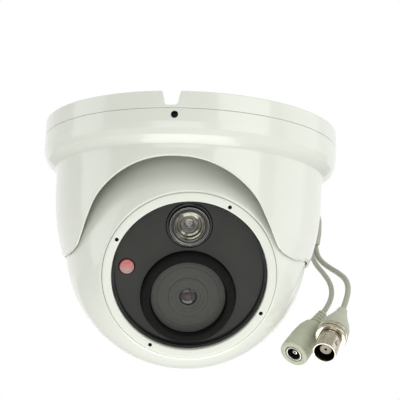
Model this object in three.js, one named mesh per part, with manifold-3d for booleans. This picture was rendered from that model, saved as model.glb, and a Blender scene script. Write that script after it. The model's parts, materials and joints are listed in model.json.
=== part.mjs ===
// Ceiling-hung turret camera with an eyeball head, built in millimetres with +Z up.
// The ceiling plane is z = 0, the camera hangs below it and its arch faces -Y.
import * as THREE from 'three';
import { mergeVertices } from 'three/addons/utils/BufferGeometryUtils.js';
import Module from 'manifold-3d';

const wasm = await Module();
wasm.setup();

// ---- Driving dimensions ----------------------------------------------------------------

const GAP = 0.3; // running gap between neighbouring pieces
const FLANGE_SIDES = 56; // sides of the base plate and the cover
const ROUND = 40; // sides of the other large turned pieces
const SMALL = 18; // sides of a small turned piece

const BASE_R = 60; // base plate and cover flange radius
const BASE_H = 6.7; // height of the base rim
const BASE_WALL = 3; // rim wall thickness
const SPIGOT_R = 56.4; // part of the base that the cover slips over
const SPIGOT_BOTTOM = -12.2;
const FLOOR_TOP = -9.7; // inside floor of the base
const BALL_OPENING_R = 34.5; // opening in the base floor above the ball
const BOSS_PITCH_R = 49; // radius on which the ceiling screw bosses stand
const SCREW_Z = -9.3; // height of the grub screws that lock the cover
const NOTCH_AZIMUTH = -1.4; // the base stands a little turned against the cover's arch
const NOTCH_W = 7.3; // front cable notch, at the ceiling
const NOTCH_DEPTH = 5.6;
const REAR_NOTCH_W = 8.4; // notch that holds the cable grommet
const REAR_NOTCH_DEPTH = 6.2;
const CABLE_AZIMUTH = 143; // where the cable leaves the base, degrees from -Y towards +X

const FLANGE_BOTTOM = -19; // underside of the cover flange, where the skirt begins
const SKIRT_R = 54.5;
const SKIRT_BOTTOM = -56.4; // lowest point, on either side of the arch
const SKIRT_BACK = -54.2; // edge of the skirt round the sides and the back
const ARCH_TOP = -23.6; // crown of the arch cut in the skirt

const BALL_Z = -49.3; // height of the ball's centre
const BALL_R = 48.9;
const BALL_INNER_R = 46.3;
const BALL_FLAT = 38; // distance from the centre to the flat on the ball's back
const EXIT_ANGLE = 130; // direction of that flat, degrees from the optical axis
const SEAT_R = BALL_R + 0.4; // spherical faces that the ball turns in

const EYE_PAN = 9.3; // resting pan of the ball, degrees towards +X
const EYE_PITCH = -28.3; // resting elevation of the optical axis
const EYE_ROLL = 3.5; // resting turn of the camera module about its own axis

const BORE_R = 33.85; // opening in the front of the ball
const RING_R = 33.5; // front ring
const WINDOW_R = 30.2; // opening of the front ring
const RING_FRONT = 35.3; // distances along the optical axis from the ball's centre
const RING_BACK = 31.2;
const PANEL_FRONT = 32;
const PANEL_BACK = 30.5;
const HOOD_FRONT = 35.7;
const LENS_AT = [-0.4, -9.2]; // lens centre on the window, right and up
const LED_AT = [0, 19.8];
const LIGHT_SENSOR_AT = [-24.1, 3.4];
const HOOD_R = 18.2;
const HOOD_BORE_R = 15;
const LED_LENS_R = 7.6;

const CABLE_R = 1.9; // main cable
const DC_LEAD_R = 1.1;
const BNC_LEAD_R = 1.2;
const CABLE_Z = -3.1; // height at which the cable passes the base rim

// ---- Materials --------------------------------------------------------------------------

const finish = (color, roughness, metalness = 0) => ({ color, roughness, metalness });
const WHITE_PAINT = finish(0xe4e6df, 0.3);
const PANEL_GREY = finish(0x3d3d3c, 0.45);
const BLACK_PLASTIC = finish(0x161616, 0.5);
const BLACK_RUBBER = finish(0x1c1c1c, 0.85);
const NYLON = finish(0xd9d6ca, 0.6);
const CABLE_GREY = finish(0xa0a391, 0.55);
const NICKEL = finish(0xc4c1b8, 0.28, 1);
const STEEL = finish(0x9a9a98, 0.35, 1);
const ALUMINIUM = finish(0xb8babd, 0.4, 1);
const BRASS = finish(0xb58f4a, 0.35, 1);
const BOARD_GREEN = finish(0x1f5a38, 0.5);
const BOARD_BLACK = finish(0x151917, 0.5);
const CLEAR = finish(0xdfe6ea, 0.08);
const LENS_GLASS = finish(0x301c22, 0.06);
const CHIP = finish(0x24262c, 0.35);
const SENSOR_RED = finish(0xb9705f, 0.5);

// ---- Geometry helpers -------------------------------------------------------------------

const radians = THREE.MathUtils.degToRad;

// Direction in plan for an azimuth counted from -Y towards +X.
const planDirection = (azimuth) =>
  new THREE.Vector3(Math.sin(radians(azimuth)), -Math.cos(radians(azimuth)), 0);

function arc(centreR, centreH, radius, fromDeg, toDeg, steps) {
  const points = [];
  for (let i = 0; i <= steps; i++) {
    const angle = radians(fromDeg + ((toDeg - fromDeg) * i) / steps);
    points.push([centreR + radius * Math.cos(angle), centreH + radius * Math.sin(angle)]);
  }
  return points;
}

// Turned solid about +Z from [radius, height] points. The outline closes on itself, or runs
// from axis to axis; either winding is accepted.
function turned(points, sides = ROUND) {
  let area = 0;
  points.forEach(([r, h], i) => {
    const [nextR, nextH] = points[(i + 1) % points.length];
    area += r * nextH - nextR * h;
  });
  const ordered = area < 0 ? [...points].reverse() : [...points];
  const onAxis = ordered[0][0] === 0 && ordered.at(-1)[0] === 0;
  const outline = onAxis ? ordered : [...ordered, ordered[0]];
  const geometry = new THREE.LatheGeometry(outline.map(([r, h]) => new THREE.Vector2(r, h)), sides);
  return geometry.rotateX(Math.PI / 2);
}

const disc = (radius, low, high, sides = SMALL) =>
  turned([[0, low], [radius, low], [radius, high], [0, high]], sides);

const ring = (outer, inner, low, high, sides = ROUND) =>
  turned([[inner, low], [outer, low], [outer, high], [inner, high]], sides);

const box = (width, depth, height) => new THREE.BoxGeometry(width, depth, height);

// Round bar along any direction, from start to end distances measured along it.
function bar(radius, direction, start, end, sides = 16) {
  const geometry = new THREE.CylinderGeometry(radius, radius, end - start, sides);
  geometry.translate(0, (start + end) / 2, 0);
  const turn = new THREE.Quaternion().setFromUnitVectors(new THREE.Vector3(0, 1, 0), direction);
  return geometry.applyQuaternion(turn);
}

function toSolid(geometry) {
  const bare = geometry.clone();
  bare.deleteAttribute('normal');
  bare.deleteAttribute('uv');
  const merged = mergeVertices(bare, 1e-4);
  const indices = [];
  for (let i = 0; i < merged.index.count; i += 3) {
    const corners = [0, 1, 2].map((k) => merged.index.getX(i + k));
    if (new Set(corners).size === 3) indices.push(...corners);
  }
  return new wasm.Manifold(new wasm.Mesh({
    numProp: 3,
    vertProperties: new Float32Array(merged.attributes.position.array),
    triVerts: new Uint32Array(indices),
  }));
}

function toGeometry(solid) {
  const mesh = solid.getMesh();
  const geometry = new THREE.BufferGeometry();
  geometry.setAttribute('position', new THREE.BufferAttribute(new Float32Array(mesh.vertProperties), 3));
  geometry.setIndex(new THREE.BufferAttribute(new Uint32Array(mesh.triVerts), 1));
  geometry.computeVertexNormals();
  return geometry;
}

function cut(geometry, ...tools) {
  let solid = toSolid(geometry);
  for (const tool of tools) solid = solid.subtract(toSolid(tool));
  return toGeometry(solid);
}

function join(...geometries) {
  let solid = toSolid(geometries[0]);
  for (const other of geometries.slice(1)) solid = solid.add(toSolid(other));
  return toGeometry(solid);
}

// Round cord through the points, with its middle on a smooth curve.
function cord(points, radius, steps) {
  const through = points.map((p) => new THREE.Vector3(...p));
  const curve = new THREE.CatmullRomCurve3(through, false, 'centripetal');
  const section = new THREE.Shape();
  const sides = 8;
  for (let i = 0; i < sides; i++) {
    const angle = (i / sides) * 2 * Math.PI;
    const point = [radius * Math.cos(angle), radius * Math.sin(angle)];
    if (i === 0) section.moveTo(...point);
    else section.lineTo(...point);
  }
  return new THREE.ExtrudeGeometry(section, { steps, extrudePath: curve });
}

function piece(parent, name, geometry, look) {
  const material = new THREE.MeshStandardMaterial(look);
  const mesh = new THREE.Mesh(geometry, material);
  mesh.name = name;
  parent.add(mesh);
  return mesh;
}

// ---- Base -------------------------------------------------------------------------------

const camera = new THREE.Group();
const LEDGE_TOP = -REAR_NOTCH_DEPTH;
const GROOVE_R = 55.4; // groove in the spigot that the grub screws reach into
const GROOVE_HALF = 1.4;
const LIP_R = 42.2; // lip under the floor that centres the friction ring
const LIP_BOTTOM = -16.2;

// U-shaped opening through the rim, narrowing by a slant towards its round corners.
function notchTool(width, depth, azimuth, corner, slant) {
  const half = width / 2;
  const shape = new THREE.Shape();
  shape.moveTo(-half - 0.2, 1);
  shape.lineTo(slant - half, corner - depth);
  shape.quadraticCurveTo(slant - half + 0.1, -depth, corner - half, -depth);
  shape.lineTo(half - corner, -depth);
  shape.quadraticCurveTo(half - slant - 0.1, -depth, half - slant, corner - depth);
  shape.lineTo(half + 0.2, 1);
  const geometry = new THREE.ExtrudeGeometry(shape, { depth: 6, bevelEnabled: false, curveSegments: 4 });
  geometry.rotateX(Math.PI / 2);
  geometry.translate(0, -BASE_R + 5, 0);
  return geometry.rotateZ(radians(azimuth));
}

function basePlate() {
  const rimInner = BASE_R - BASE_WALL;
  const spigotInner = SPIGOT_R - BASE_WALL;
  const shell = turned([
    [BASE_R - 0.4, 0], [BASE_R, -0.4], [BASE_R, -BASE_H], [SPIGOT_R, -BASE_H],
    [SPIGOT_R, SCREW_Z + GROOVE_HALF], [GROOVE_R, SCREW_Z + GROOVE_HALF],
    [GROOVE_R, SCREW_Z - GROOVE_HALF], [SPIGOT_R, SCREW_Z - GROOVE_HALF],
    [SPIGOT_R, SPIGOT_BOTTOM], [LIP_R + 2.3, SPIGOT_BOTTOM], [LIP_R + 2.3, LIP_BOTTOM],
    [LIP_R, LIP_BOTTOM], [LIP_R, SPIGOT_BOTTOM], [BALL_OPENING_R, SPIGOT_BOTTOM],
    [BALL_OPENING_R, FLOOR_TOP], [spigotInner, FLOOR_TOP], [spigotInner, LEDGE_TOP],
    [rimInner, LEDGE_TOP], [rimInner, 0],
  ], FLANGE_SIDES);
  const bosses = [];
  const holes = [];
  for (const azimuth of [60, 180, 300]) {
    const at = planDirection(azimuth).multiplyScalar(BOSS_PITCH_R);
    bosses.push(disc(4.6, FLOOR_TOP - 1, 0).translate(at.x, at.y, 0));
    holes.push(disc(2.2, SPIGOT_BOTTOM - 1, 1).translate(at.x, at.y, 0));
  }
  const notches = [
    notchTool(NOTCH_W, NOTCH_DEPTH, NOTCH_AZIMUTH, 2.3, 0.8),
    notchTool(REAR_NOTCH_W, REAR_NOTCH_DEPTH, CABLE_AZIMUTH, 2, 0.4),
  ];
  return cut(join(shell, ...bosses), ...holes, ...notches);
}

piece(camera, 'base_plate', basePlate(), WHITE_PAINT);

// ---- Cover with its arch ------------------------------------------------------------------

// Half outline of the arch as [x, z], from the crown down to the skirt's edge at its side.
const ARCH_SIDE = [
  [0, ARCH_TOP], [7.6, -24.1], [15.6, -26.2], [23.7, -30.5], [30.8, -37],
  [35, -44.5], [38.2, -51.5], [39.6, -54], [42, -55.8], [44.8, SKIRT_BOTTOM], [47.2, -55.8],
  [48.6, -54.8], [49.2, SKIRT_BACK], [50.5, -53.2],
];

function archTool() {
  const half = new THREE.SplineCurve(ARCH_SIDE.map(([x, z]) => new THREE.Vector2(x, z)));
  const right = half.getPoints(22);
  const left = right.slice(1).reverse().map((p) => new THREE.Vector2(-p.x, p.y));
  const floor = [new THREE.Vector2(50.5, -70), new THREE.Vector2(-50.5, -70)];
  const shape = new THREE.Shape([...left, ...right, ...floor]);
  const geometry = new THREE.ExtrudeGeometry(shape, { depth: 60, bevelEnabled: false });
  geometry.rotateX(Math.PI / 2);
  return geometry.translate(0, -8, 0);
}

function turretCover() {
  const top = -BASE_H - GAP;
  const inner = BASE_R - BASE_WALL;
  const lipInner = (z) => Math.sqrt(SEAT_R ** 2 - (z - BALL_Z) ** 2);
  const profile = [
    [BASE_R, top], [BASE_R, -11.8], [59.6, -14.2], [58.4, -16.4], [56.6, -17.9],
    [55.2, FLANGE_BOTTOM + 0.2], [SKIRT_R, -21], [54.3, -32], [53.6, -39.5], [52.8, -44.5],
    [51.9, -48.3], [51, -51.5], [50.2, SKIRT_BACK], [49.8, -55.8], [49.5, SKIRT_BOTTOM],
    [lipInner(SKIRT_BOTTOM), SKIRT_BOTTOM], [lipInner(-54.5) + 0.05, -54.5],
    [lipInner(-51.5) + 0.1, -51.5], [49.8, -48.3], [50.7, -44.5], [51.5, -39.5], [52.2, -32],
    [52.4, -21], [53.6, -17.1], [55.8, -15], [inner, -12.6], [inner, top],
  ];
  const sideTop = SKIRT_BACK - SKIRT_BOTTOM + 5;
  const behindArch = box(120, 80, sideTop).translate(0, 32, SKIRT_BACK - sideTop / 2);
  const screwHoles = [0, 120, 240].map((azimuth) =>
    bar(1.35, planDirection(azimuth), BASE_R - 5, BASE_R + 2).translate(0, 0, SCREW_Z));
  return cut(turned(profile, FLANGE_SIDES), archTool(), behindArch, ...screwHoles);
}

piece(camera, 'turret_cover', turretCover(), WHITE_PAINT);

// Grub screws through the flange, each with a hexagon socket, reaching into the groove.
[0, 120, 240].forEach((azimuth, i) => {
  const direction = planDirection(azimuth);
  const shank = bar(1.05, direction, GROOVE_R + 0.35, BASE_R - 1.4);
  const socket = bar(0.55, direction, BASE_R - 2.6, BASE_R, 6);
  piece(camera, `set_screw_${i + 1}`, cut(shank, socket).translate(0, 0, SCREW_Z), STEEL);
});

// ---- Friction ring between the base and the ball -------------------------------------------

function frictionRing() {
  const top = SPIGOT_BOTTOM - GAP;
  const bottom = -16;
  const faceR = (z) => Math.sqrt(SEAT_R ** 2 - (z - BALL_Z) ** 2);
  const middle = (top + bottom) / 2;
  return turned([
    [LIP_R - 0.4, top], [LIP_R - 0.4, bottom], [faceR(bottom) + 0.1, bottom],
    [faceR(middle) + 0.1, middle], [faceR(top) + 0.1, top],
  ]);
}

piece(camera, 'friction_ring', frictionRing(), NYLON);

// ---- Ball: local +Z is the optical axis, +X is right and +Y is up ---------------------------

const panned = new THREE.Group();
panned.position.set(0, 0, BALL_Z);
panned.rotation.z = radians(EYE_PAN);
camera.add(panned);
const ball = new THREE.Group();
ball.rotation.x = radians(90 - EYE_PITCH);
panned.add(ball);

// Stretch of a sphere's outline between two angles from the optical axis.
const sphereArc = (radius, fromDeg, toDeg, steps) =>
  arc(0, 0, radius, 90 - fromDeg, 90 - toDeg, steps);

const LEDGE_FRONT = 29.7; // inner ledge that the camera module hangs on
const LEDGE_BACK = 27.4;
const LEDGE_R = 31.9;
const SPLIT_GAP = GAP / 2;
const COLLAR_R = 45.1; // collar of the rear shell inside the front shell
const COLLAR_BORE_R = 43.6;
const COLLAR_TOP = 5;
const exitDirection = new THREE.Vector3(0, Math.sin(radians(EXIT_ANGLE)), Math.cos(radians(EXIT_ANGLE)));
const screwDirection = (side) => new THREE.Vector3(side * 48.25, -7, 3.8).normalize();

function ballFrontShell() {
  const innerAngle = THREE.MathUtils.radToDeg(Math.acos(LEDGE_BACK / BALL_INNER_R));
  const shell = turned([
    ...sphereArc(BALL_R, 90, 46.1, 8), [34.6, 34.5], [BORE_R, 34.7],
    [BORE_R, LEDGE_FRONT], [LEDGE_R, LEDGE_FRONT], [LEDGE_R, LEDGE_BACK],
    ...sphereArc(BALL_INNER_R, innerAngle, 90, 6),
  ].map(([r, h]) => [r, Math.max(h, SPLIT_GAP)]));
  const holes = [-1, 1].map((side) => bar(1.5, screwDirection(side), 40, 52));
  return cut(shell, ...holes);
}

function ballRearShell() {
  const outer = turned([
    [0, COLLAR_TOP], [COLLAR_R, COLLAR_TOP], [COLLAR_R, -SPLIT_GAP], [BALL_R, -SPLIT_GAP],
    ...sphereArc(BALL_R, 98, 180, 9).slice(0, -1), [0, -BALL_R],
  ]);
  const cavityAngle = 180 - THREE.MathUtils.radToDeg(Math.asin(COLLAR_BORE_R / BALL_INNER_R));
  const cavity = turned([
    [0, COLLAR_TOP + 1], [COLLAR_BORE_R, COLLAR_TOP + 1],
    ...sphereArc(BALL_INNER_R, cavityAngle, 180, 7).slice(0, -1), [0, -BALL_INNER_R],
  ]);
  const slab = (distance) => {
    const block = box(120, 60, 120).translate(0, distance + 30, 0);
    const turn = new THREE.Quaternion().setFromUnitVectors(new THREE.Vector3(0, 1, 0), exitDirection);
    return block.applyQuaternion(turn);
  };
  const flatWall = 2.6;
  const hollow = cut(cavity, slab(BALL_FLAT - flatWall));
  const holes = [-1, 1].map((side) => bar(1.5, screwDirection(side), 40, 52));
  return cut(outer, slab(BALL_FLAT), hollow, bar(3.6, exitDirection, 30, 42), ...holes);
}

piece(ball, 'ball_front_shell', ballFrontShell(), WHITE_PAINT);
piece(ball, 'ball_rear_shell', ballRearShell(), WHITE_PAINT);

[['left', -1], ['right', 1]].forEach(([name, side]) => {
  const shank = bar(1.2, screwDirection(side), 43.6, 48);
  const socket = bar(0.6, screwDirection(side), 46.8, 49, 6);
  piece(ball, `ball_screw_${name}`, cut(shank, socket), STEEL);
});

function ballGland() {
  const body = turned([
    [1.6, BALL_FLAT - 3], [3.3, BALL_FLAT - 3], [3.3, BALL_FLAT + GAP], [6.5, BALL_FLAT + GAP],
    [6.5, BALL_FLAT + 2], [5, BALL_FLAT + 2.6], [3.9, BALL_FLAT + 5.4], [1.6, BALL_FLAT + 5.4],
  ], SMALL);
  return body.applyQuaternion(
    new THREE.Quaternion().setFromUnitVectors(new THREE.Vector3(0, 0, 1), exitDirection));
}

piece(ball, 'ball_gland', ballGland(), BLACK_RUBBER);
const sealRing = ring(RING_R, LEDGE_R + GAP, LEDGE_FRONT + GAP, RING_BACK - GAP, 32);
piece(ball, 'eye_seal_ring', sealRing, BLACK_RUBBER);

// ---- Camera module, turning in the ball about the optical axis ------------------------------

const eye = new THREE.Group();
eye.rotation.z = radians(EYE_ROLL);
ball.add(eye);

const HOUSING_R = LEDGE_R - GAP;
const HOUSING_BORE_R = 29.8;
const HOUSING_FLOOR = 2;
const FLOOR_THICK = 2;
const IR_BOARD_BACK = 26.6;
const IR_BOARD_FRONT = 27.8;
const SENSOR_BOARD_BACK = 12.4;
const SENSOR_BOARD_FRONT = 14;

function frontRing() {
  const body = turned([
    [WINDOW_R, RING_BACK], [RING_R, RING_BACK], [RING_R, 34.4], [33.2, 34.9], [32.6, RING_FRONT],
    [30.8, RING_FRONT], [30.35, 35.1], [WINDOW_R, 34.7],
  ]);
  const holes = [];
  for (let i = 0; i < 4; i++) {
    const angle = radians(61.2 + 90 * i);
    holes.push(disc(0.7, RING_FRONT - 2, RING_FRONT + 1, 10)
      .translate(31.75 * Math.cos(angle), 31.75 * Math.sin(angle), 0));
  }
  return cut(body, ...holes);
}

function eyeHousing() {
  const cup = turned([
    [0, HOUSING_FLOOR], [HOUSING_R, HOUSING_FLOOR], [HOUSING_R, PANEL_BACK - GAP],
    [HOUSING_BORE_R, PANEL_BACK - GAP], [HOUSING_BORE_R, HOUSING_FLOOR + FLOOR_THICK],
    [0, HOUSING_FLOOR + FLOOR_THICK],
  ]);
  return cut(cup, disc(5, 0, 8).translate(0, 16, 0));
}

function windowPanel() {
  const plate = disc(WINDOW_R - GAP, PANEL_BACK, PANEL_FRONT, ROUND);
  return cut(
    plate,
    disc(HOOD_R + GAP, 25, 40, 36).translate(...LENS_AT, 0),
    disc(LED_LENS_R + 1.3, 25, 40, 28).translate(...LED_AT, 0),
    disc(3.1, 25, 40).translate(...LIGHT_SENSOR_AT, 0),
  );
}

piece(eye, 'front_ring', frontRing(), WHITE_PAINT);
piece(eye, 'eye_housing', eyeHousing(), ALUMINIUM);
piece(eye, 'eye_retaining_nut', ring(35, LEDGE_R, 24.2, LEDGE_BACK - GAP), ALUMINIUM);
piece(eye, 'window_panel', windowPanel(), PANEL_GREY);
const gasket = ring(WINDOW_R - GAP, 29, PANEL_FRONT + GAP, PANEL_FRONT + 1.8);
piece(eye, 'window_gasket', gasket, BLACK_RUBBER);

// Hood round the lens, with the plate that closes it round the lens barrel.
const PLATE_BACK = 31;
const PLATE_FRONT = 32.6;

function lensHood() {
  const tube = turned([
    [HOOD_BORE_R, 24.5], [HOOD_R - 1.2, 24.5], [HOOD_R - 1.2, 29.9], [HOOD_R, 29.9],
    [HOOD_R, 34.2], [HOOD_R - 1.2, HOOD_FRONT], [HOOD_BORE_R + 0.6, HOOD_FRONT],
    [HOOD_BORE_R, HOOD_FRONT - 0.6],
  ], 36);
  return tube.translate(...LENS_AT, 0);
}

const lensPlate = ring(HOOD_BORE_R - GAP, 7.8, PLATE_BACK, PLATE_FRONT, 36).translate(...LENS_AT, 0);

piece(eye, 'lens_hood', lensHood(), BLACK_PLASTIC);
piece(eye, 'lens_plate', lensPlate, PANEL_GREY);

// Threaded lens in its holder on the sensor board. The barrel and glass turn to focus.
const LENS_BARREL_R = 6;
const HOLDER_TOP = 24;

function lensHolder() {
  const foot = box(17, 17, 2).translate(0, 0, SENSOR_BOARD_FRONT + GAP + 1);
  const tower = disc(8, SENSOR_BOARD_FRONT + GAP, HOLDER_TOP, 24);
  const bore = disc(LENS_BARREL_R + 0.35, SENSOR_BOARD_FRONT + 3, HOLDER_TOP + 1, 24);
  const chipRoom = box(11, 11, 4).translate(0, 0, SENSOR_BOARD_FRONT + 1);
  return cut(join(foot, tower), bore, chipRoom).translate(...LENS_AT, 0);
}

const lensBarrel = turned([
  [3.6, 17.6], [LENS_BARREL_R, 17.6], [LENS_BARREL_R, HOLDER_TOP + 1], [7.5, HOLDER_TOP + 1.4],
  [7.5, 32.4], [7.2, 32.7], [6.3, 32.7], [4.8, 32.4], [3.6, 32.3],
], 28).translate(...LENS_AT, 0);

const frontGlass = turned([
  [0, 27.4], [3.3, 27.4], [3.3, 31.9], [2.3, 32.3], [1.2, 32.5], [0, 32.6],
], 24).translate(...LENS_AT, 0);

const rearGlass = turned([
  [0, 18], [2.2, 18.2], [3.1, 18.6], [3.1, 20.4], [0, 20.4],
], 24).translate(...LENS_AT, 0);

piece(eye, 'lens_holder', lensHolder(), BLACK_PLASTIC);
piece(eye, 'lens_barrel', lensBarrel, BLACK_PLASTIC);
piece(eye, 'lens_front_glass', frontGlass, LENS_GLASS);
piece(eye, 'lens_rear_glass', rearGlass, CLEAR);

const sensorBoard = box(28, 28, SENSOR_BOARD_FRONT - SENSOR_BOARD_BACK)
  .translate(...LENS_AT, (SENSOR_BOARD_FRONT + SENSOR_BOARD_BACK) / 2);
const imageSensor = box(8, 8, 1).translate(...LENS_AT, SENSOR_BOARD_FRONT + GAP + 0.5);
piece(eye, 'sensor_board', sensorBoard, BOARD_GREEN);
piece(eye, 'image_sensor', imageSensor, CHIP);

// Infrared board round the hood, with one powerful LED behind a clear cup-shaped lens.
const irBoard = cut(
  disc(28.5, IR_BOARD_BACK, IR_BOARD_FRONT, 40),
  disc(HOOD_R - 0.9, 20, 32, 36).translate(...LENS_AT, 0),
);
const emitter = box(3.6, 3.6, 1).translate(...LED_AT, IR_BOARD_FRONT + GAP + 0.5);
const ledLens = turned([
  [0, 29.4], [4.6, 29.4], [5.5, 30.2], [5.6, 32.5], [LED_LENS_R, 32.7], [LED_LENS_R, 33.6],
  [7.2, 33.9], [5.2, 33.9], [4.9, 31], [3.9, 30.7], [3.6, 31.8], [2.2, 32.6], [0, 32.8],
], 28).translate(...LED_AT, 0);
const ledCollar = turned([
  [LED_LENS_R + GAP, 30.6], [LED_LENS_R + 1, 30.6], [LED_LENS_R + 1, 32.4],
  [LED_LENS_R + GAP, 32.4],
], 28).translate(...LED_AT, 0);
const heatSink = disc(8, 20.5, IR_BOARD_BACK - GAP, 24).translate(...LED_AT, 0);

piece(eye, 'ir_board', irBoard, BOARD_BLACK);
piece(eye, 'ir_led', emitter, CHIP);
piece(eye, 'ir_lens', ledLens, CLEAR);
piece(eye, 'ir_collar', ledCollar, PANEL_GREY);
piece(eye, 'ir_heat_sink', heatSink, ALUMINIUM);

function lightSensor() {
  const legs = [-1.2, 1.2].map((x) => disc(0.35, IR_BOARD_FRONT + GAP, 31, 8).translate(x, 0, 0));
  const head = turned([[0, 30.6], [2.8, 30.6], [2.8, 32.2], [2.4, 32.6], [0, 32.6]], SMALL);
  return join(head, ...legs).translate(...LIGHT_SENSOR_AT, 0);
}

piece(eye, 'light_sensor', lightSensor(), SENSOR_RED);

// Brass posts: four long ones under the infrared board, four short ones under the sensor board.
const POST_FOOT = HOUSING_FLOOR + FLOOR_THICK + GAP;
[-8, 60, 120, 188].forEach((degrees, i) => {
  const at = [26 * Math.cos(radians(degrees)), 26 * Math.sin(radians(degrees))];
  const post = disc(1.7, POST_FOOT, IR_BOARD_BACK - GAP, 6).translate(...at, 0);
  piece(eye, `ir_board_post_${i + 1}`, post, BRASS);
});
[[-1, -1], [1, -1], [1, 1], [-1, 1]].forEach(([x, y], i) => {
  const post = disc(1.6, POST_FOOT, SENSOR_BOARD_BACK - GAP, 6)
    .translate(LENS_AT[0] + 11 * x, LENS_AT[1] + 11 * y, 0);
  piece(eye, `sensor_board_post_${i + 1}`, post, BRASS);
});

// ---- Cable, grommet, splitter and plugs -----------------------------------------------------

const cableDirection = planDirection(CABLE_AZIMUTH);
const alongCable = (distance, z) =>
  [cableDirection.x * distance, cableDirection.y * distance, z];

function cableGrommet() {
  const block = box(5.4, REAR_NOTCH_W - 2, 2 * 2.75).translate(57.6, 0, 0);
  const boot = turned([[0, 59], [2.8, 59], [2.8, 62.4], [2.5, 67.5], [0, 67.5]], SMALL);
  boot.rotateY(Math.PI / 2);
  const bore = disc(CABLE_R + GAP, 50, 70).rotateY(Math.PI / 2);
  const body = cut(join(block, boot), bore);
  return body.rotateZ(radians(CABLE_AZIMUTH - 90)).translate(0, 0, CABLE_Z);
}

const BEND_R = 15.2; // bend of the cable outside the base
const CABLE_END_Z = CABLE_Z - BEND_R - 1.2;
const DROP_AT = 68 + BEND_R;
const onBend = (degrees) => alongCable(
  68 + BEND_R * Math.sin(radians(degrees)), CABLE_Z - BEND_R * (1 - Math.cos(radians(degrees))));
const MAIN_ROUTE = [
  alongCable(46.8, -5.1), alongCable(50.8, -4.1), alongCable(55, -3.25), alongCable(60, CABLE_Z),
  alongCable(64, CABLE_Z), onBend(0), onBend(22.5), onBend(45), onBend(67.5),
  alongCable(DROP_AT, CABLE_END_Z),
];

function innerPlug() {
  const block = box(9, 8, 4.6).translate(41.2, 0, FLOOR_TOP + GAP + 2.3);
  return block.rotateZ(radians(CABLE_AZIMUTH - 90));
}

const SPLITTER_TOP = CABLE_END_Z - GAP;
const SPLITTER_BOTTOM = -34.2;
const splitterAt = alongCable(DROP_AT, 0);
const splitter = turned([
  [0, SPLITTER_TOP], [2.5, SPLITTER_TOP], [3.1, SPLITTER_TOP - 1.2], [3.6, SPLITTER_TOP - 3.5],
  [3.6, -29], [3.2, -32], [2.9, SPLITTER_BOTTOM], [0, SPLITTER_BOTTOM],
], SMALL).translate(...splitterAt);

piece(camera, 'cable_grommet', cableGrommet(), BLACK_RUBBER);
piece(camera, 'inner_plug', innerPlug(), NYLON);
piece(camera, 'main_cable', cord(MAIN_ROUTE, CABLE_R, 18), CABLE_GREY);
piece(camera, 'cable_splitter', splitter, CABLE_GREY);

const DC_NECK = new THREE.Vector3(55.7, 26.2, -70.8);
const DC_DIRECTION = new THREE.Vector3(-0.408, -0.588, -0.697).normalize();
const BNC_NECK = new THREE.Vector3(63.9, 21.2, -70);
const BNC_DIRECTION = new THREE.Vector3(-0.233, -0.697, -0.68).normalize();

const DC_ROUTE = [
  [49.3, 65.5, -35.2], [49.8, 62.4, -39.5], [51.1, 58, -43.4], [52.9, 53.1, -46.7],
  [55.2, 48.4, -50.1], [57.4, 43.8, -53.8], [58.8, 39.4, -57.8], [59, 34.9, -62],
  [57.9, 30.6, -66.3], [55.9, 26.5, -70.5],
];
const BNC_ROUTE = [
  [51.1, 67.1, -35.3], [52.4, 63.7, -39.8], [55.1, 59, -43.8], [58.5, 53.8, -47],
  [61.8, 48.4, -49.9], [64.5, 42.8, -53.1], [65.8, 37.2, -56.7], [66, 31.7, -60.7],
  [65.2, 26.4, -65.1], [63.95, 21.4, -69.75],
];

// Places a piece turned about +Z so that its axis runs along a plug.
function alongPlug(geometry, neck, direction) {
  const turn = new THREE.Quaternion().setFromUnitVectors(new THREE.Vector3(0, 0, 1), direction);
  return geometry.applyQuaternion(turn).translate(neck.x, neck.y, neck.z);
}

// Ribbed neck: the radius grows towards the plug and steps in between the ribs.
function ribbedNeck(from, to, ribs, thin, thick) {
  const outline = [[0, from]];
  const pitch = (to - from) / ribs;
  for (let i = 0; i < ribs; i++) {
    const grow = thin + ((thick - thin) * i) / (ribs - 1);
    const start = from + i * pitch;
    outline.push([grow, start], [grow, start + pitch * 0.6]);
    outline.push([grow - 0.45, start + pitch * 0.62], [grow - 0.45, start + pitch * 0.98]);
  }
  outline.push([0, to - pitch * 0.02]);
  return turned(outline, 14);
}

const DC_BODY_FROM = 8.3;
const DC_FACE = 27.7;
const dcNeck = ribbedNeck(0.3, DC_BODY_FROM - GAP, 4, 2, 2.7);
const dcBody = turned([
  [0, DC_BODY_FROM], [3, DC_BODY_FROM], [4.6, 9.6], [5.6, 12], [6, 15], [6, DC_FACE - 0.5],
  [5.6, DC_FACE], [3.8, DC_FACE], [3.8, 17], [0, 17],
], 24);
const dcSleeve = turned([
  [0, 17.3], [3.5, 17.3], [3.5, DC_FACE], [2.75, DC_FACE], [2.75, 18.5], [0, 18.5],
], 22);
const dcPin = turned([
  [0, 18.8], [1.05, 18.8], [1.05, DC_FACE - 1.6], [0.6, DC_FACE - 1.1], [0, DC_FACE - 1.1],
], 14);

piece(camera, 'dc_lead', cord(DC_ROUTE, DC_LEAD_R, 24), CABLE_GREY);
piece(camera, 'dc_strain_relief', alongPlug(dcNeck, DC_NECK, DC_DIRECTION), CABLE_GREY);
piece(camera, 'dc_jack_body', alongPlug(dcBody, DC_NECK, DC_DIRECTION), CABLE_GREY);
piece(camera, 'dc_jack_sleeve', alongPlug(dcSleeve, DC_NECK, DC_DIRECTION), NICKEL);
piece(camera, 'dc_jack_pin', alongPlug(dcPin, DC_NECK, DC_DIRECTION), NICKEL);

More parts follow.
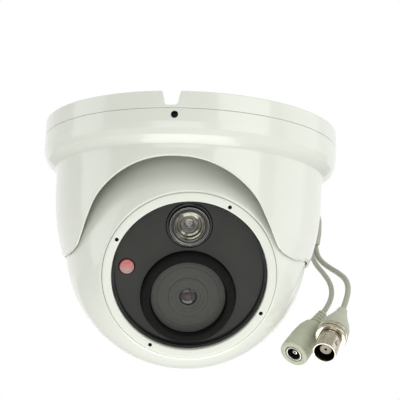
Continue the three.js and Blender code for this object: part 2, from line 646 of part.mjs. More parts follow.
const BNC_FACE = 30;
const bncBoot = turned([
  [0, 0.3], [2.1, 0.3], [2.5, 2.5], [3.6, 6], [5.2, 10], [6.2, 13.2], [6.4, 16], [0, 16],
], 24);
const bncCollar = turned([
  [0, 16.3], [6.1, 16.3], [6.5, 16.7], [6.5, 17.9], [5.8, 18.2], [5.8, 18.7], [6.5, 19],
  [6.5, 20], [6.1, 20.4], [0, 20.4],
], 24);
const bncTube = turned([
  [0, 20.7], [4.85, 20.7], [4.85, BNC_FACE - 0.3], [4.6, BNC_FACE], [4.1, BNC_FACE],
  [4.1, 22], [0, 22],
], 24);
const lug = (side) =>
  bar(0.95, new THREE.Vector3(side, 0, 0), 4.4, 5.6, 12).translate(0, 0, BNC_FACE - 4.6);
const bncSleeve = join(bncTube, lug(1), lug(-1));
const bncInsulator = turned([
  [0, 22.3], [2.4, 22.3], [2.4, 27.4], [2.2, 27.7], [0.55, 27.7], [0.55, 24.5], [0, 24.5],
], 24);

piece(camera, 'bnc_lead', cord(BNC_ROUTE, BNC_LEAD_R, 28), CABLE_GREY);
piece(camera, 'bnc_boot', alongPlug(bncBoot, BNC_NECK, BNC_DIRECTION), CABLE_GREY);
piece(camera, 'bnc_collar', alongPlug(bncCollar, BNC_NECK, BNC_DIRECTION), NICKEL);
piece(camera, 'bnc_sleeve', alongPlug(bncSleeve, BNC_NECK, BNC_DIRECTION), NICKEL);
piece(camera, 'bnc_insulator', alongPlug(bncInsulator, BNC_NECK, BNC_DIRECTION), NYLON);

export default camera;
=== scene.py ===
"""Looks of a ceiling-hung turret camera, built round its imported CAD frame.

Pieces are drawn in millimetres in the frame of the CAD and turned into metres when their
mesh is made. Outlines of turned pieces are lists of (radius, height[, corner rounding]).
"""

import json
import math

import bmesh
import bpy
from mathutils import Matrix, Vector

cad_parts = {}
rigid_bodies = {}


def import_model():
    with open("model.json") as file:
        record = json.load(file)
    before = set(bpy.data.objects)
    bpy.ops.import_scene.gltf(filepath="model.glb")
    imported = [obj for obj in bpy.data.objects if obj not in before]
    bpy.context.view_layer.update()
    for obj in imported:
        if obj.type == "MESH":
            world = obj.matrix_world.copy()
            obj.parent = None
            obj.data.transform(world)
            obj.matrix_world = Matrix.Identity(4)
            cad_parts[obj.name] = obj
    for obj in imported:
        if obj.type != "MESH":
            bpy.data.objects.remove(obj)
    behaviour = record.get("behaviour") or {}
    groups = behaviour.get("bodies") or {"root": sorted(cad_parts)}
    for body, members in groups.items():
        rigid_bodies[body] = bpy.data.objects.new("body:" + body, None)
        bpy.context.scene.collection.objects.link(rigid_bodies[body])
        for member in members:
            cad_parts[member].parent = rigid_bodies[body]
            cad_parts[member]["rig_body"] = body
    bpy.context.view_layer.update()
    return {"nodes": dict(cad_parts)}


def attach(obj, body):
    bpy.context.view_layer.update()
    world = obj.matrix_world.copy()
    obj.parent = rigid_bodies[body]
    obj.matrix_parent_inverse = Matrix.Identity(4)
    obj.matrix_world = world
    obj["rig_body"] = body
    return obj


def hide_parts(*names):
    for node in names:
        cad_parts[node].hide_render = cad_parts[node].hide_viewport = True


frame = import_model()
NODES = frame["nodes"]
SCENE = bpy.context.scene
MM = 0.001

# ---- Camera ----

EYE_POINT = Vector((0, 0, -0.045))  # point of the object that the view is measured from
VIEW_AZIMUTH = 6.3
VIEW_ELEVATION = -10.79
VIEW_DISTANCE = 0.6
VIEW_ROLL = 2.27
AIM_RIGHT = 0.00536  # the picture's middle, from EYE_POINT
AIM_UP = 0.01567
LENS_MM = 131.96
SENSOR_MM = 36


def direction(azimuth, elevation=0):
    """Unit vector away from the object: azimuth 0 is its front, and 90 its right side."""
    a, e = math.radians(azimuth), math.radians(elevation)
    return Vector((math.sin(a) * math.cos(e), -math.cos(a) * math.cos(e), math.sin(e)))


def view_axes(forward):
    """Right and up of a view along forward, with the camera's roll."""
    level_right = forward.cross(Vector((0, 0, 1))).normalized()
    level_up = level_right.cross(forward)
    roll = math.radians(VIEW_ROLL)
    right = math.cos(roll) * level_right + math.sin(roll) * level_up
    return right, right.cross(forward)


def spin(degrees, axis):
    """Turn about an axis, as a matrix."""
    return Matrix.Rotation(math.radians(degrees), 4, axis)


def make_camera():
    """Camera that looks at a point a little to the right of EYE_POINT and above it."""
    back = direction(VIEW_AZIMUTH, VIEW_ELEVATION)
    place = EYE_POINT + back * VIEW_DISTANCE
    right, up = view_axes(-back)
    forward = (EYE_POINT + right * AIM_RIGHT + up * AIM_UP - place).normalized()
    right, up = view_axes(forward)
    data = bpy.data.cameras.new("view_camera")
    data.lens = LENS_MM
    data.sensor_width = SENSOR_MM
    data.clip_start = 0.01
    camera = bpy.data.objects.new("view_camera", data)
    turn = Matrix((right, up, -forward)).transposed().to_4x4()
    camera.matrix_world = Matrix.Translation(place) @ turn
    SCENE.collection.objects.link(camera)
    SCENE.camera = camera


make_camera()

# ---- Sizes, in millimetres ----

GAP = 0.3
BASE_R, BASE_H, BASE_WALL = 60, 6.7, 3
SPIGOT_R, SPIGOT_BOTTOM, FLOOR_TOP = 56.4, -12.2, -9.7
BALL_OPENING_R = 34.5
BOSS_PITCH_R, BOSS_R, BOSS_BORE_R, BOSS_AZIMUTHS = 49, 4.6, 2.2, (60, 180, 300)
GROOVE_R, GROOVE_HALF = 55.4, 1.4
LIP_R, LIP_BOTTOM = 42.2, -16.2
SCREW_Z, SCREW_AZIMUTHS = -9.3, (0, 120, 240)
SCREW_HOLE_R, SCREW_HOLE_START, SCREW_HOLE_END = 1.35, 55, 59.8
SEAM = 0.12  # line between the base and the cover
NOTCH_AZIMUTH, NOTCH_W, NOTCH_DEPTH = -1.4, 7.3, 5.6
REAR_NOTCH_W, REAR_NOTCH_DEPTH = 8.4, 6.2
CABLE_AZIMUTH = 143
SKIRT_BOTTOM, SKIRT_BACK = -56.4, -54.2
BALL_Z, BALL_R, BALL_INNER_R, BALL_FLAT = -49.3, 48.89, 46.3, 38
SPLIT_R = BALL_R - 0.12  # radius of the ball's halves at the line between them
EXIT_ANGLE = 130
SIDE_SCREW_AT = (48.25, -7, 3.8)  # the right one, from the middle of the ball
SEAT_R = 49.3
EYE_PAN, EYE_PITCH, EYE_ROLL = 9.3, -28.3, 3.5
BORE_R, RING_R, WINDOW_R = 33.85, 33.5, 30.2
WINDOW_EDGE = WINDOW_R - GAP
RING_FRONT, RING_BACK = 35.3, 31.2
RING_HOLE_R, RING_HOLES_PITCH_R, RING_HOLES_TURN = 0.75, 31.75, 61.2
PANEL_FRONT, PANEL_BACK = 32, 30.5
HOOD_FRONT, HOOD_R, HOOD_BORE_R = 35.7, 18.2, 15
LENS_AT, LED_AT, SENSOR_AT = (-0.4, -9.2), (0, 19.8), (-24.1, 3.4)
LED_LENS_R, LED_HOLE_R, SENSOR_HOLE_R = 7.6, 8.9, 3.1
DIE_SIZE, DIE_Z = (3.6, 3.6, 1), 28.6
BULB_R = 2.0  # clear dome in the middle of the lamp's stepped reflector
LEDGE_FRONT, LEDGE_BACK, LEDGE_R = 29.7, 27.4, 31.9
PLATE_FRONT, PLATE_BACK = 32.6, 31
COLLAR_R, COLLAR_BORE_R, COLLAR_TOP = 45.1, 43.6, 5
CABLE_R, DC_LEAD_R, BNC_LEAD_R, CABLE_Z = 1.9, 1.1, 1.2, -3.1
BEND_AT, BEND_R = 68, 15.2  # start of the cable's bend, from the camera's axis
DROP_AT = BEND_AT + BEND_R
SPLITTER_TOP, SPLITTER_BOTTOM = CABLE_Z - BEND_R - 1.2 - GAP, -34.2

BALL_FRAME = Matrix.Translation((0, 0, BALL_Z)) @ spin(EYE_PAN, "Z") @ spin(90 - EYE_PITCH, "X")
EYE_FRAME = BALL_FRAME @ spin(EYE_ROLL, "Z")

# ---- Materials ----


class Material:
    """A Principled material with helpers for the patterns that drive it."""

    def __init__(self, name, **sockets):
        self.data = bpy.data.materials.new(name)
        self.data.use_nodes = True
        self.tree = self.data.node_tree
        self.shader = self.tree.nodes["Principled BSDF"]
        self.coords = self.tree.nodes.new("ShaderNodeTexCoord").outputs["Object"]
        self.set_sockets(self.shader, sockets)

    def set_sockets(self, node, sockets):
        for socket, value in sockets.items():
            node.inputs[socket.replace("_", " ")].default_value = value

    def link(self, output, socket):
        self.tree.links.new(output, socket)

    def add(self, kind, socket, output, **sockets):
        """New node with one socket linked to an output and others set."""
        node = self.tree.nodes.new("ShaderNode" + kind)
        self.set_sockets(node, sockets)
        self.link(output, node.inputs[socket])
        return node

    def stretched(self, scale, matrix=None):
        """Object coordinates in metres, scaled along their axes, in the frame of a matrix."""
        source = self.coords
        if matrix is not None:
            frame_here = Matrix.Translation(matrix.translation * MM) @ matrix.to_3x3().to_4x4()
            inverse = frame_here.inverted()
            turn = self.add("Mapping", "Vector", source,
                            Rotation=inverse.to_euler(), Location=inverse.translation)
            source = turn.outputs["Vector"]
        return self.add("Mapping", "Vector", source, Scale=scale).outputs["Vector"]

    def in_millimetres(self, matrix):
        return self.stretched((1 / MM,) * 3, matrix)

    def noise(self, size, detail=3, distortion=0, vector=None):
        """Noise whose lumps are about size millimetres wide, or size along a vector."""
        source = self.coords if vector is None else vector
        scale = 1 / (size * MM) if vector is None else 1 / size
        node = self.add("TexNoise", "Vector", source, Scale=scale, Detail=detail,
                        Roughness=0.55, Distortion=distortion)
        return node.outputs["Fac"]

    def cells(self, size):
        """Distance from the middle of cells about size millimetres wide."""
        node = self.add("TexVoronoi", "Vector", self.coords, Scale=1 / (size * MM))
        return node.outputs["Distance"]

    def radius_from(self, matrix, at, span):
        """Distance from an axis through a point, along a frame's Z, as a share of a span."""
        unit = 1 / (span * MM)
        node = self.add("VectorMath", 0, self.stretched((unit, unit, 0), matrix))
        node.operation = "DISTANCE"
        node.inputs[1].default_value = (at[0] / span, at[1] / span, 0)
        return node.outputs["Value"]

    def ramp(self, value, *stops):
        """Colour or number along a value: stops are (position, colour or number)."""
        node = self.add("ValToRGB", "Fac", value)
        elements = node.color_ramp.elements
        for index, (position, colour) in enumerate(stops):
            element = elements[index] if index < 2 else elements.new(position)
            element.position = position
            element.color = (*colour, 1) if isinstance(colour, tuple) else (colour,) * 3 + (1,)
        return node.outputs["Color"]

    def mix(self, factor, first, second):
        node = self.add("Mix", "Factor", factor)
        node.data_type = "RGBA"
        self.link(first, node.inputs[6])
        self.link(second, node.inputs[7])
        return node.outputs[2]

    def colour(self, output):
        self.link(output, self.shader.inputs["Base Color"])

    def between(self, pattern, first, second, start=0.3, end=0.7):
        """From one colour or number to another along a pattern."""
        return self.ramp(pattern, (start, first), (end, second))

    def tint(self, *pattern, **ends):
        self.colour(self.between(*pattern, **ends))

    def roughen(self, *pattern, **ends):
        self.link(self.between(*pattern, **ends), self.shader.inputs["Roughness"])

    def bump(self, height, distance, strength):
        """Adds a bump of a distance in millimetres on top of the ones already there."""
        node = self.add("Bump", "Height", height, Distance=distance * MM, Strength=strength)
        normal = self.shader.inputs["Normal"]
        if normal.links:
            self.link(normal.links[0].from_socket, node.inputs["Normal"])
        self.link(node.outputs["Normal"], normal)


def paint(name, orange_peel, grain, gloss):
    """Off-white sprayed enamel: faint cloudiness, orange peel, and painted shade that darkens the
    concave corners.
    """
    m = Material(name, Coat_Weight=gloss, Coat_Roughness=0.03, IOR=1.5)
    cloud = m.noise(38, 4)
    body = m.between(cloud, (0.712, 0.732, 0.655), (0.728, 0.745, 0.672))
    # Darker copy of the paint for where pointiness is low: painted shade in the concave corners.
    painted_corner_shade = m.between(cloud, (0.56, 0.58, 0.50), (0.59, 0.60, 0.53))
    edges = m.tree.nodes.new("ShaderNodeNewGeometry").outputs["Pointiness"]
    m.colour(m.mix(m.ramp(edges, (0.455, 0.0), (0.49, 1.0)), painted_corner_shade, body))
    m.roughen(m.noise(9, 4), 0.23, 0.27)
    m.bump(m.noise(1.9, 2), 0.02, orange_peel)
    m.bump(m.noise(0.32), 0.012, grain)
    return m.data


def mottled(name, colour, rough, bump, **sockets):
    """Plain material; colour, roughness and bump each follow a noise of (size, detail)."""
    m = Material(name, **sockets)
    m.tint(m.noise(*colour[0]), *colour[1:])
    m.roughen(m.noise(*rough[0]), *rough[1:])
    m.bump(m.noise(*bump[0]), *bump[1:])
    return m.data


def foam():
    """Closed-cell black foam of the hood."""
    m = Material("hood_foam", IOR=1.25)
    m.tint(m.noise(1.2, 6), (0.004, 0.004, 0.004), (0.008, 0.0078, 0.0075))
    m.roughen(m.noise(0.8, 4), 0.75, 0.95)
    m.bump(m.cells(0.28), 0.04, 0.6)
    return m.data


def nylon(name, light, dark):
    """Slightly translucent moulded resin."""
    return mottled(name, ((6, 5), dark, light), ((2, 4), 0.45, 0.62), ((0.5,), 0.01, 0.5),
                   IOR=1.53, Subsurface_Weight=0.08, Subsurface_Radius=(0.001, 0.0008, 0.0006))


def vinyl(name, light, dark):
    """Grey-green jacket: slightly greasy, speckled, with cleaner patches."""
    m = Material(name, IOR=1.5, Coat_Weight=0.12, Coat_Roughness=0.3)
    patches = m.ramp(m.noise(3.5, 6, distortion=0.6), (0.32, 0.0), (0.72, 1.0))
    grain = m.noise(0.7, 4)
    speckled = m.between(grain, dark, light)
    clean = m.ramp(grain, (0.4, light), (0.9, light))
    m.colour(m.mix(patches, speckled, clean))
    m.roughen(m.noise(1.6, 5), 0.42, 0.6)
    m.bump(m.noise(0.45, 4), 0.02, 0.45)
    return m.data


def metal(name, light, dark, rough, matrix=None, along=40.0, across=1.2):
    """Turned or plated metal: fine tool marks, tarnish in patches, worn roughness."""
    m = Material(name, Metallic=1.0)
    tarnish = m.noise(2.2, 6, distortion=0.4)
    m.tint(tarnish, dark, light, end=0.68)
    m.roughen(tarnish, rough + 0.08, rough, start=0.25)
    marks = m.stretched((across, across, along), matrix)
    m.bump(m.noise(0.05, 4, vector=marks), 0.004, 0.5)
    return m.data


def board(name, mask, shaded, track):
    """Solder mask over buried copper tracks, with a tinned pad under the infrared emitter."""
    m = Material(name, IOR=1.5, Coat_Weight=0.35, Coat_Roughness=0.15)
    brick = m.add("TexBrick", "Vector", m.in_millimetres(EYE_FRAME), Color1=(*mask, 1),
                  Color2=(*shaded, 1), Mortar=(*track, 1), Scale=1.0, Brick_Width=2.6,
                  Row_Height=1.1, Mortar_Size=0.09)
    pad = m.ramp(m.radius_from(EYE_FRAME, LED_AT, 10), (0.24, 1.0), (0.25, 0.0))
    tin = m.between(m.noise(0.8, 5), (0.42, 0.41, 0.37), (0.62, 0.60, 0.54))
    m.colour(m.mix(pad, brick.outputs["Color"], tin))
    m.link(pad, m.shader.inputs["Metallic"])
    m.roughen(m.noise(2, 4), 0.3, 0.45)
    m.bump(brick.outputs["Fac"], 0.03, 0.6)
    return m.data


def clear_plastic():
    """Clear moulding with a faint haze and ripple."""
    m = Material("clear_acrylic", Transmission_Weight=1.0, IOR=1.49,
                 Base_Color=(0.96, 0.97, 0.97, 1))
    m.roughen(m.noise(2.5, 5), 0.02, 0.07, end=0.75)
    m.bump(m.noise(1.1, 2), 0.004, 0.5)
    return m.data


def coated_glass():
    """Deep coated lens: a reddish pupil painted as the coatings' reflection, inside a dark iris and
    rings of painted shade, under a clear polished face; its patchy haze is painted lighter towards
    the middle.
    """
    m = Material("coated_lens_glass", IOR=1.45, Coat_Weight=0.25, Coat_Roughness=0.02)
    radius = m.radius_from(EYE_FRAME, LENS_AT, 4)
    # Colour by distance from the lens's middle: a reddish painted reflection in the middle and dark
    # rings of painted shade round it.
    depth = m.ramp(
        radius, (0.0, (0.080, 0.052, 0.054)), (0.24, (0.062, 0.040, 0.044)),
        (0.32, (0.024, 0.018, 0.020)), (0.52, (0.040, 0.030, 0.032)), (0.78, (0.014, 0.012, 0.014)),
    )
    # Colour of the haze patches, painted lighter towards the middle as a painted glow.
    haze_and_painted_glow = m.ramp(radius, (0.0, (0.07, 0.055, 0.06)), (1.0, (0.03, 0.028, 0.03)))
    haze = m.ramp(m.noise(1.4, 4), (0.35, 0.0), (0.75, 0.35))
    m.colour(m.mix(haze, depth, haze_and_painted_glow))
    m.roughen(m.noise(1.0, 4), 0.04, 0.09)
    return m.data


def chip():
    """Polished black silicon with a faint pattern of cells."""
    m = Material("chip_black", IOR=1.5, Coat_Weight=0.5, Coat_Roughness=0.08)
    m.tint(m.cells(0.5), (0.020, 0.022, 0.030), (0.035, 0.036, 0.048), 0.1, 0.8)
    m.roughen(m.noise(0.8, 4), 0.25, 0.4)
    m.bump(m.noise(0.2, 2), 0.004, 0.4)
    return m.data


def emitter_face():
    """Pale phosphor-like die of the infrared emitter in its tinned frame."""
    m = Material("emitter_die", IOR=1.5, Coat_Weight=0.6, Coat_Roughness=0.05)
    m.tint(m.cells(0.7), (0.55, 0.53, 0.45), (0.30, 0.28, 0.23), 0.12, 0.75)
    m.roughen(m.noise(0.5, 4), 0.2, 0.35)
    m.bump(m.cells(0.5), 0.02, 0.5)
    return m.data


def photocell():
    """Light sensor: a red window film face that grows paler towards the bottom, where a reflection
    is painted.
    """
    m = Material("photocell", IOR=1.52, Coat_Weight=0.45, Coat_Roughness=0.18)
    split = m.add("SeparateXYZ", "Vector", m.in_millimetres(EYE_FRAME))
    height = m.add("MapRange", "Value", split.outputs["Y"],
                   From_Min=SENSOR_AT[1] - 2.6, From_Max=SENSOR_AT[1] + 2.6)
    fleck = m.noise(0.5, 5)
    film = m.between(fleck, (0.44, 0.085, 0.095), (0.56, 0.17, 0.17))
    # Paler colour towards the bottom of the sensor: a painted reflection.
    painted_pale_reflection = m.between(fleck, (0.36, 0.22, 0.18), (0.50, 0.33, 0.28))
    m.colour(m.mix(m.ramp(height.outputs["Result"], (0.15, 0.0), (0.85, 1.0)), painted_pale_reflection, film))
    m.roughen(fleck, 0.3, 0.45)
    m.bump(m.noise(0.35), 0.02, 0.5)
    return m.data


WHITE = paint("white_paint", 0.14, 0.05, 0.6)
WHITE_SATIN = paint("white_satin_paint", 0.2, 0.5, 0.15)
# Acrylic sheet: polished, with a faint cloud of the pigment and wiped haze
PANEL = mottled("panel_grey", ((14, 5), (0.020, 0.0215, 0.0175), (0.026, 0.0275, 0.0225)),
                ((5, 5), 0.08, 0.15), ((4, 2), 0.006, 0.5), IOR=1.49)
# Matt grey plate round the lens
PLATE = mottled("lens_plate_grey", ((9, 5), (0.046, 0.047, 0.041), (0.053, 0.054, 0.047)),
                ((2.5, 5), 0.5, 0.66), ((0.16, 2), 0.008, 0.7), IOR=1.45)
# Black plastic; also given to the walls of holes and bores, where it is painted shade.
BLACK_AND_PAINTED_SHADE = mottled("black_plastic", ((6, 5), (0.007, 0.007, 0.007), (0.012, 0.012, 0.012)),
                ((1.5, 4), 0.38, 0.55), ((0.25,), 0.01, 0.5), IOR=1.46)
FOAM = foam()
RUBBER = mottled("black_rubber", ((5, 6), (0.009, 0.009, 0.009), (0.022, 0.021, 0.020), 0.3, 0.75),
                 ((2, 5), 0.62, 0.85), ((0.3, 4), 0.02, 0.5), IOR=1.5)
NYLON = nylon("nylon", (0.69, 0.67, 0.60), (0.60, 0.575, 0.50))
INSULATOR = nylon("insulator_resin", (0.40, 0.37, 0.30), (0.33, 0.30, 0.24))
CABLE = vinyl("cable_vinyl", (0.385, 0.395, 0.315), (0.325, 0.335, 0.258))
BOOT = vinyl("boot_vinyl", (0.46, 0.485, 0.37), (0.39, 0.41, 0.31))
BLACK_STEEL = metal("black_oxide_steel", (0.050, 0.050, 0.052), (0.028, 0.027, 0.027), 0.35)
ALUMINIUM = metal("aluminium", (0.62, 0.63, 0.64), (0.48, 0.49, 0.50), 0.34, EYE_FRAME, 1.0, 30.0)
REFLECTOR = metal("reflector_film", (0.30, 0.292, 0.25), (0.12, 0.116, 0.098), 0.1, EYE_FRAME)
BRASS = metal("brass", (0.62, 0.44, 0.18), (0.42, 0.28, 0.11), 0.3, EYE_FRAME)
BOARD = board("board_green", (0.010, 0.075, 0.036), (0.008, 0.060, 0.030), (0.022, 0.125, 0.060))
BLACK_BOARD = board("board_black", (0.008, 0.009, 0.008), (0.006, 0.007, 0.006),
                    (0.016, 0.018, 0.016))
CLEAR = clear_plastic()
GLASS = coated_glass()
CHIP = chip()
DIE = emitter_face()
PHOTOCELL = photocell()

# ---- Mesh helpers ----

ROUND_STEPS = 5
LARGE, MEDIUM, FINE = 224, 144, 72  # sides of turned pieces


def corner_curve(start, corner, end, steps):
    """Points of a smooth curve that cuts a corner."""
    shares = [i / steps for i in range(steps + 1)]
    return [tuple(start * (1 - t) ** 2 + corner * 2 * t * (1 - t) + end * t ** 2) for t in shares]


def rounded(points):
    """Outline with the corners that carry a third number rounded by that radius."""
    flat = []
    for index, point in enumerate(points):
        radius = point[2] if len(point) > 2 else 0
        corner = Vector(point[:2])
        if radius <= 0:
            flat.append(tuple(corner))
            continue
        before = Vector(points[index - 1][:2]) - corner
        after = Vector(points[(index + 1) % len(points)][:2]) - corner
        half_angle = before.angle(after) / 2
        reach = min(radius / math.tan(half_angle), before.length * 0.49, after.length * 0.49)
        start = corner + before.normalized() * reach
        end = corner + after.normalized() * reach
        flat += corner_curve(start, corner, end, ROUND_STEPS)
    return flat


def sphere_arc(radius, start, end, steps):
    """Points on a sphere's outline between two angles from its axis."""
    angles = [math.radians(start + (end - start) * i / steps) for i in range(steps + 1)]
    return [(radius * math.sin(a), radius * math.cos(a)) for a in angles]


def smooth_line(points, steps):
    """Centripetal Catmull-Rom curve through the points, with steps pieces in each span."""
    points = [Vector(p) for p in points]
    ends = [2 * points[0] - points[1], *points, 2 * points[-1] - points[-2]]
    line = []
    for p0, p1, p2, p3 in zip(ends, ends[1:], ends[2:], ends[3:]):
        t1 = (p1 - p0).length ** 0.5
        t2 = t1 + (p2 - p1).length ** 0.5
        t3 = t2 + (p3 - p2).length ** 0.5
        for step in range(steps):
            t = t1 + (t2 - t1) * step / steps
            a1 = p0 + (p1 - p0) * (t / t1)
            a2 = p1 + (p2 - p1) * ((t - t1) / (t2 - t1))
            a3 = p2 + (p3 - p2) * ((t - t2) / (t3 - t2))
            b1 = a1 + (a2 - a1) * (t / t2)
            b2 = a2 + (a3 - a2) * ((t - t1) / (t3 - t1))
            line.append(b1 + (b2 - b1) * ((t - t1) / (t2 - t1)))
    return line + [points[-1]]


def new_object(name, vertices, faces, matrix=None):
    """Mesh object from millimetre vertices, drawn in the frame of a matrix."""
    matrix = matrix or Matrix.Identity(4)
    mesh = bpy.data.meshes.new(name)
    mesh.from_pydata([(matrix @ Vector(v)) * MM for v in vertices], [], faces)
    tidy = bmesh.new()
    tidy.from_mesh(mesh)
    bmesh.ops.remove_doubles(tidy, verts=tidy.verts, dist=1e-7)
    bmesh.ops.recalc_face_normals(tidy, faces=tidy.faces)
    tidy.to_mesh(mesh)
    tidy.free()
    obj = bpy.data.objects.new(name, mesh)
    SCENE.collection.objects.link(obj)
    return obj


def turned(name, outline, sides=MEDIUM, matrix=None, at=(0, 0)):
    """Solid of revolution about the frame's Z, through at."""
    points = rounded(outline)
    if points[0] == points[-1]:
        points = points[:-1]
    vertices, rings = [], []
    for radius, height in points:
        start = len(vertices)
        if radius == 0:
            rings.append([start] * sides)
            vertices.append((*at, height))
            continue
        rings.append(list(range(start, start + sides)))
        for side in range(sides):
            angle = 2 * math.pi * side / sides
            vertices.append((
                at[0] + radius * math.cos(angle), at[1] + radius * math.sin(angle), height,
            ))
    faces = []
    for low, high in zip(rings, [*rings[1:], rings[0]]):
        for side in range(sides):
            other = (side + 1) % sides
            corners = dict.fromkeys([low[side], low[other], high[other], high[side]])
            if len(corners) > 2:
                faces.append(list(corners))
    return new_object(name, vertices, faces, matrix)


def rod(radius, low, high, place=None, at=(0, 0), mouth=None, sides=FINE):
    """Round rod or drill, which may widen to a mouth of a radius and a height."""
    outline = [(0, low), (radius, low), (radius, high)]
    if mouth:
        outline.append(mouth)
    return turned("rod", [*outline, (0, outline[-1][1])], sides, place, at)


def ribs(count, start, pitch, radius, growth, shape):
    """Outline of ribs in a row; shape lists (height, depth, rounding) along one rib."""
    return [(radius + growth * i - depth, start + pitch * i + height, rounding)
            for i in range(count) for height, depth, rounding in shape]


def prism(name, outline, low, high, matrix=None):
    """Straight prism of an outline between two heights."""
    count = len(outline)
    vertices = [(x, y, z) for z in (low, high) for x, y in outline]
    faces = [list(range(count))[::-1], list(range(count, 2 * count))]
    for i in range(count):
        j = (i + 1) % count
        faces.append([i, j, count + j, count + i])
    return new_object(name, vertices, faces, matrix)


def block(name, size, centre, matrix=None):
    """Box of a size round its centre."""
    x, y = size[0] / 2, size[1] / 2
    place = (matrix or Matrix.Identity(4)) @ Matrix.Translation(centre)
    return prism(name, [(-x, -y), (x, -y), (x, y), (-x, y)], -size[2] / 2, size[2] / 2, place)


def regular(sides, radius, turn=0):
    """Corners of a regular polygon, the first one at an angle of turn."""
    angles = [math.radians(turn + 360 * i / sides) for i in range(sides)]
    return [(radius * math.cos(a), radius * math.sin(a)) for a in angles]


def towards(way):
    """Frame at the origin whose Z runs along a way."""
    turn = Vector((0, 0, 1)).rotation_difference(Vector(way).normalized())
    return turn.to_matrix().to_4x4()


def settle(obj):
    """Turns the modifiers of an object into its mesh."""
    graph = bpy.context.evaluated_depsgraph_get()
    mesh = bpy.data.meshes.new_from_object(obj.evaluated_get(graph))
    obj.modifiers.clear()
    obj.data = mesh


def combine(obj, operation, tools):
    for tool in tools:
        modifier = obj.modifiers.new("step", "BOOLEAN")
        modifier.operation = operation
        modifier.solver = "EXACT"
        modifier.object = tool
        settle(obj)
        bpy.data.objects.remove(tool)


def cut(obj, *tools):
    """Cuts tools from an object, one after another."""
    combine(obj, "DIFFERENCE", tools)


def join(obj, *tools):
    """Joins tools to an object, one after another."""
    combine(obj, "UNION", tools)


def soften(obj, width, steps):
    """Rounds the sharp edges of an object."""
    modifier = obj.modifiers.new("soften", "BEVEL")
    modifier.width = width * MM
    modifier.segments = steps
    modifier.limit_method = "ANGLE"
    modifier.angle_limit = math.radians(35)
    settle(obj)
    return obj


def faces_round(obj, place):
    """Each face with its middle in the frame of a place and its distance from the frame's Z."""
    inverse = place.inverted()
    for face in obj.data.polygons:
        middle = inverse @ (face.center / MM)
        yield face, middle, math.hypot(middle.x, middle.y)


def paint_inside(obj, place, radius, low, high):
    """Gives the second material to a hollow's faces, inside a radius and between two heights; where
    that material is dark, it is painted shade inside the hollow.
    """
    turn = place.inverted().to_3x3()
    for face, middle, distance in faces_round(obj, place):
        outward = (turn @ face.normal).xy
        facing_in = outward.dot(middle.xy) < 0.001 * radius
        if distance < radius and low < middle.z < high and facing_in:
            face.material_index = 1


def finish_piece(obj, node, slot, *materials, sharp=32):
    """Shades a piece, gives it its materials and puts it in a CAD node's place."""
    for material in materials:
        obj.data.materials.append(material)
    if obj.type == "MESH":
        obj.data.shade_smooth()
        obj.data.set_sharp_from_angle(angle=math.radians(sharp))
    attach(obj, NODES[node]["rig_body"])
    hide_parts(node)
    return obj


def turned_piece(name, node, slot, material, outline, *place):
    """Turned piece that needs no cutting or painting; place goes on to turned()."""
    finish_piece(turned(name, outline, *place), node, slot, material)


# ---- Cords ----

CORD_STEPS = 4


def along_cable(distance, height):
    """Point over the line on which the cable leaves the base."""
    place = direction(CABLE_AZIMUTH) * distance
    return (place.x, place.y, height)


def on_bend(degrees):
    """Point on the cable's bend, which starts level and ends pointing down."""
    a = math.radians(degrees)
    return along_cable(BEND_AT + BEND_R * math.sin(a), CABLE_Z - BEND_R * (1 - math.cos(a)))


MAIN_ROUTE = [
    along_cable(46.8, -5.1), along_cable(50.8, -4.1), along_cable(55, -3.25),
    along_cable(60, CABLE_Z), along_cable(64, CABLE_Z),
    *[on_bend(degrees) for degrees in (0, 22.5, 45, 67.5)],
    along_cable(DROP_AT, CABLE_Z - BEND_R - 2.2),
]
DC_ROUTE = [
    (49.25, 66, -33.6), (49.8, 62.4, -39.5), (51.1, 58, -43.4), (52.9, 53.1, -46.7),
    (55.2, 48.4, -50.1), (57.4, 43.8, -53.8), (58.8, 39.4, -57.8), (59, 34.9, -62),
    (57.9, 30.6, -66.3), (55.62, 26.08, -70.95),
]
BNC_ROUTE = [
    (50.9, 67.5, -33.6), (52.4, 63.7, -39.8), (55.1, 59, -43.8), (58.5, 53.8, -47),
    (61.8, 48.4, -49.9), (64.5, 42.8, -53.1), (65.8, 37.2, -56.7), (65.95, 31.7, -60.7),
    (65.2, 26.4, -65.1), (63.85, 21.05, -70.15),
]


def make_cord(name, node, route, radius):
    """Round cord on a smooth curve through its route; returns it and its length in metres."""
    line = [point * MM for point in smooth_line(route, CORD_STEPS)]
    data = bpy.data.curves.new(name, "CURVE")
    data.dimensions = "3D"
    data.bevel_depth = radius * MM
    data.bevel_resolution = 8
    data.resolution_u = 4
    data.use_fill_caps = True
    spline = data.splines.new("BEZIER")
    spline.bezier_points.add(len(line) - 1)
    for bezier, place in zip(spline.bezier_points, line):
        bezier.co = place
        bezier.handle_left_type = bezier.handle_right_type = "AUTO"
    obj = bpy.data.objects.new(name, data)
    SCENE.collection.objects.link(obj)
    finish_piece(obj, node, "cable_grey", CABLE)
    return obj, sum((b - a).length for a, b in zip(line, line[1:]))


main_cable, main_length = make_cord("cable_jacket", "main_cable", MAIN_ROUTE, CABLE_R)
dc_lead, dc_length = make_cord("power_lead_jacket", "dc_lead", DC_ROUTE, DC_LEAD_R)
bnc_lead, bnc_length = make_cord("video_lead_jacket", "bnc_lead", BNC_ROUTE, BNC_LEAD_R)

# ---- Splitter, grommet and plugs ----

CABLE_TURN = spin(CABLE_AZIMUTH - 90, "Z")
OUTWARD = Matrix.Translation((0, 0, CABLE_Z)) @ CABLE_TURN
AXIS_OUT = OUTWARD @ spin(90, "Y")
GROMMET_START, GROMMET_END = 59, 67.5  # the boot, along the cable
PLUG_SIZE = (9, 8, 4.6)


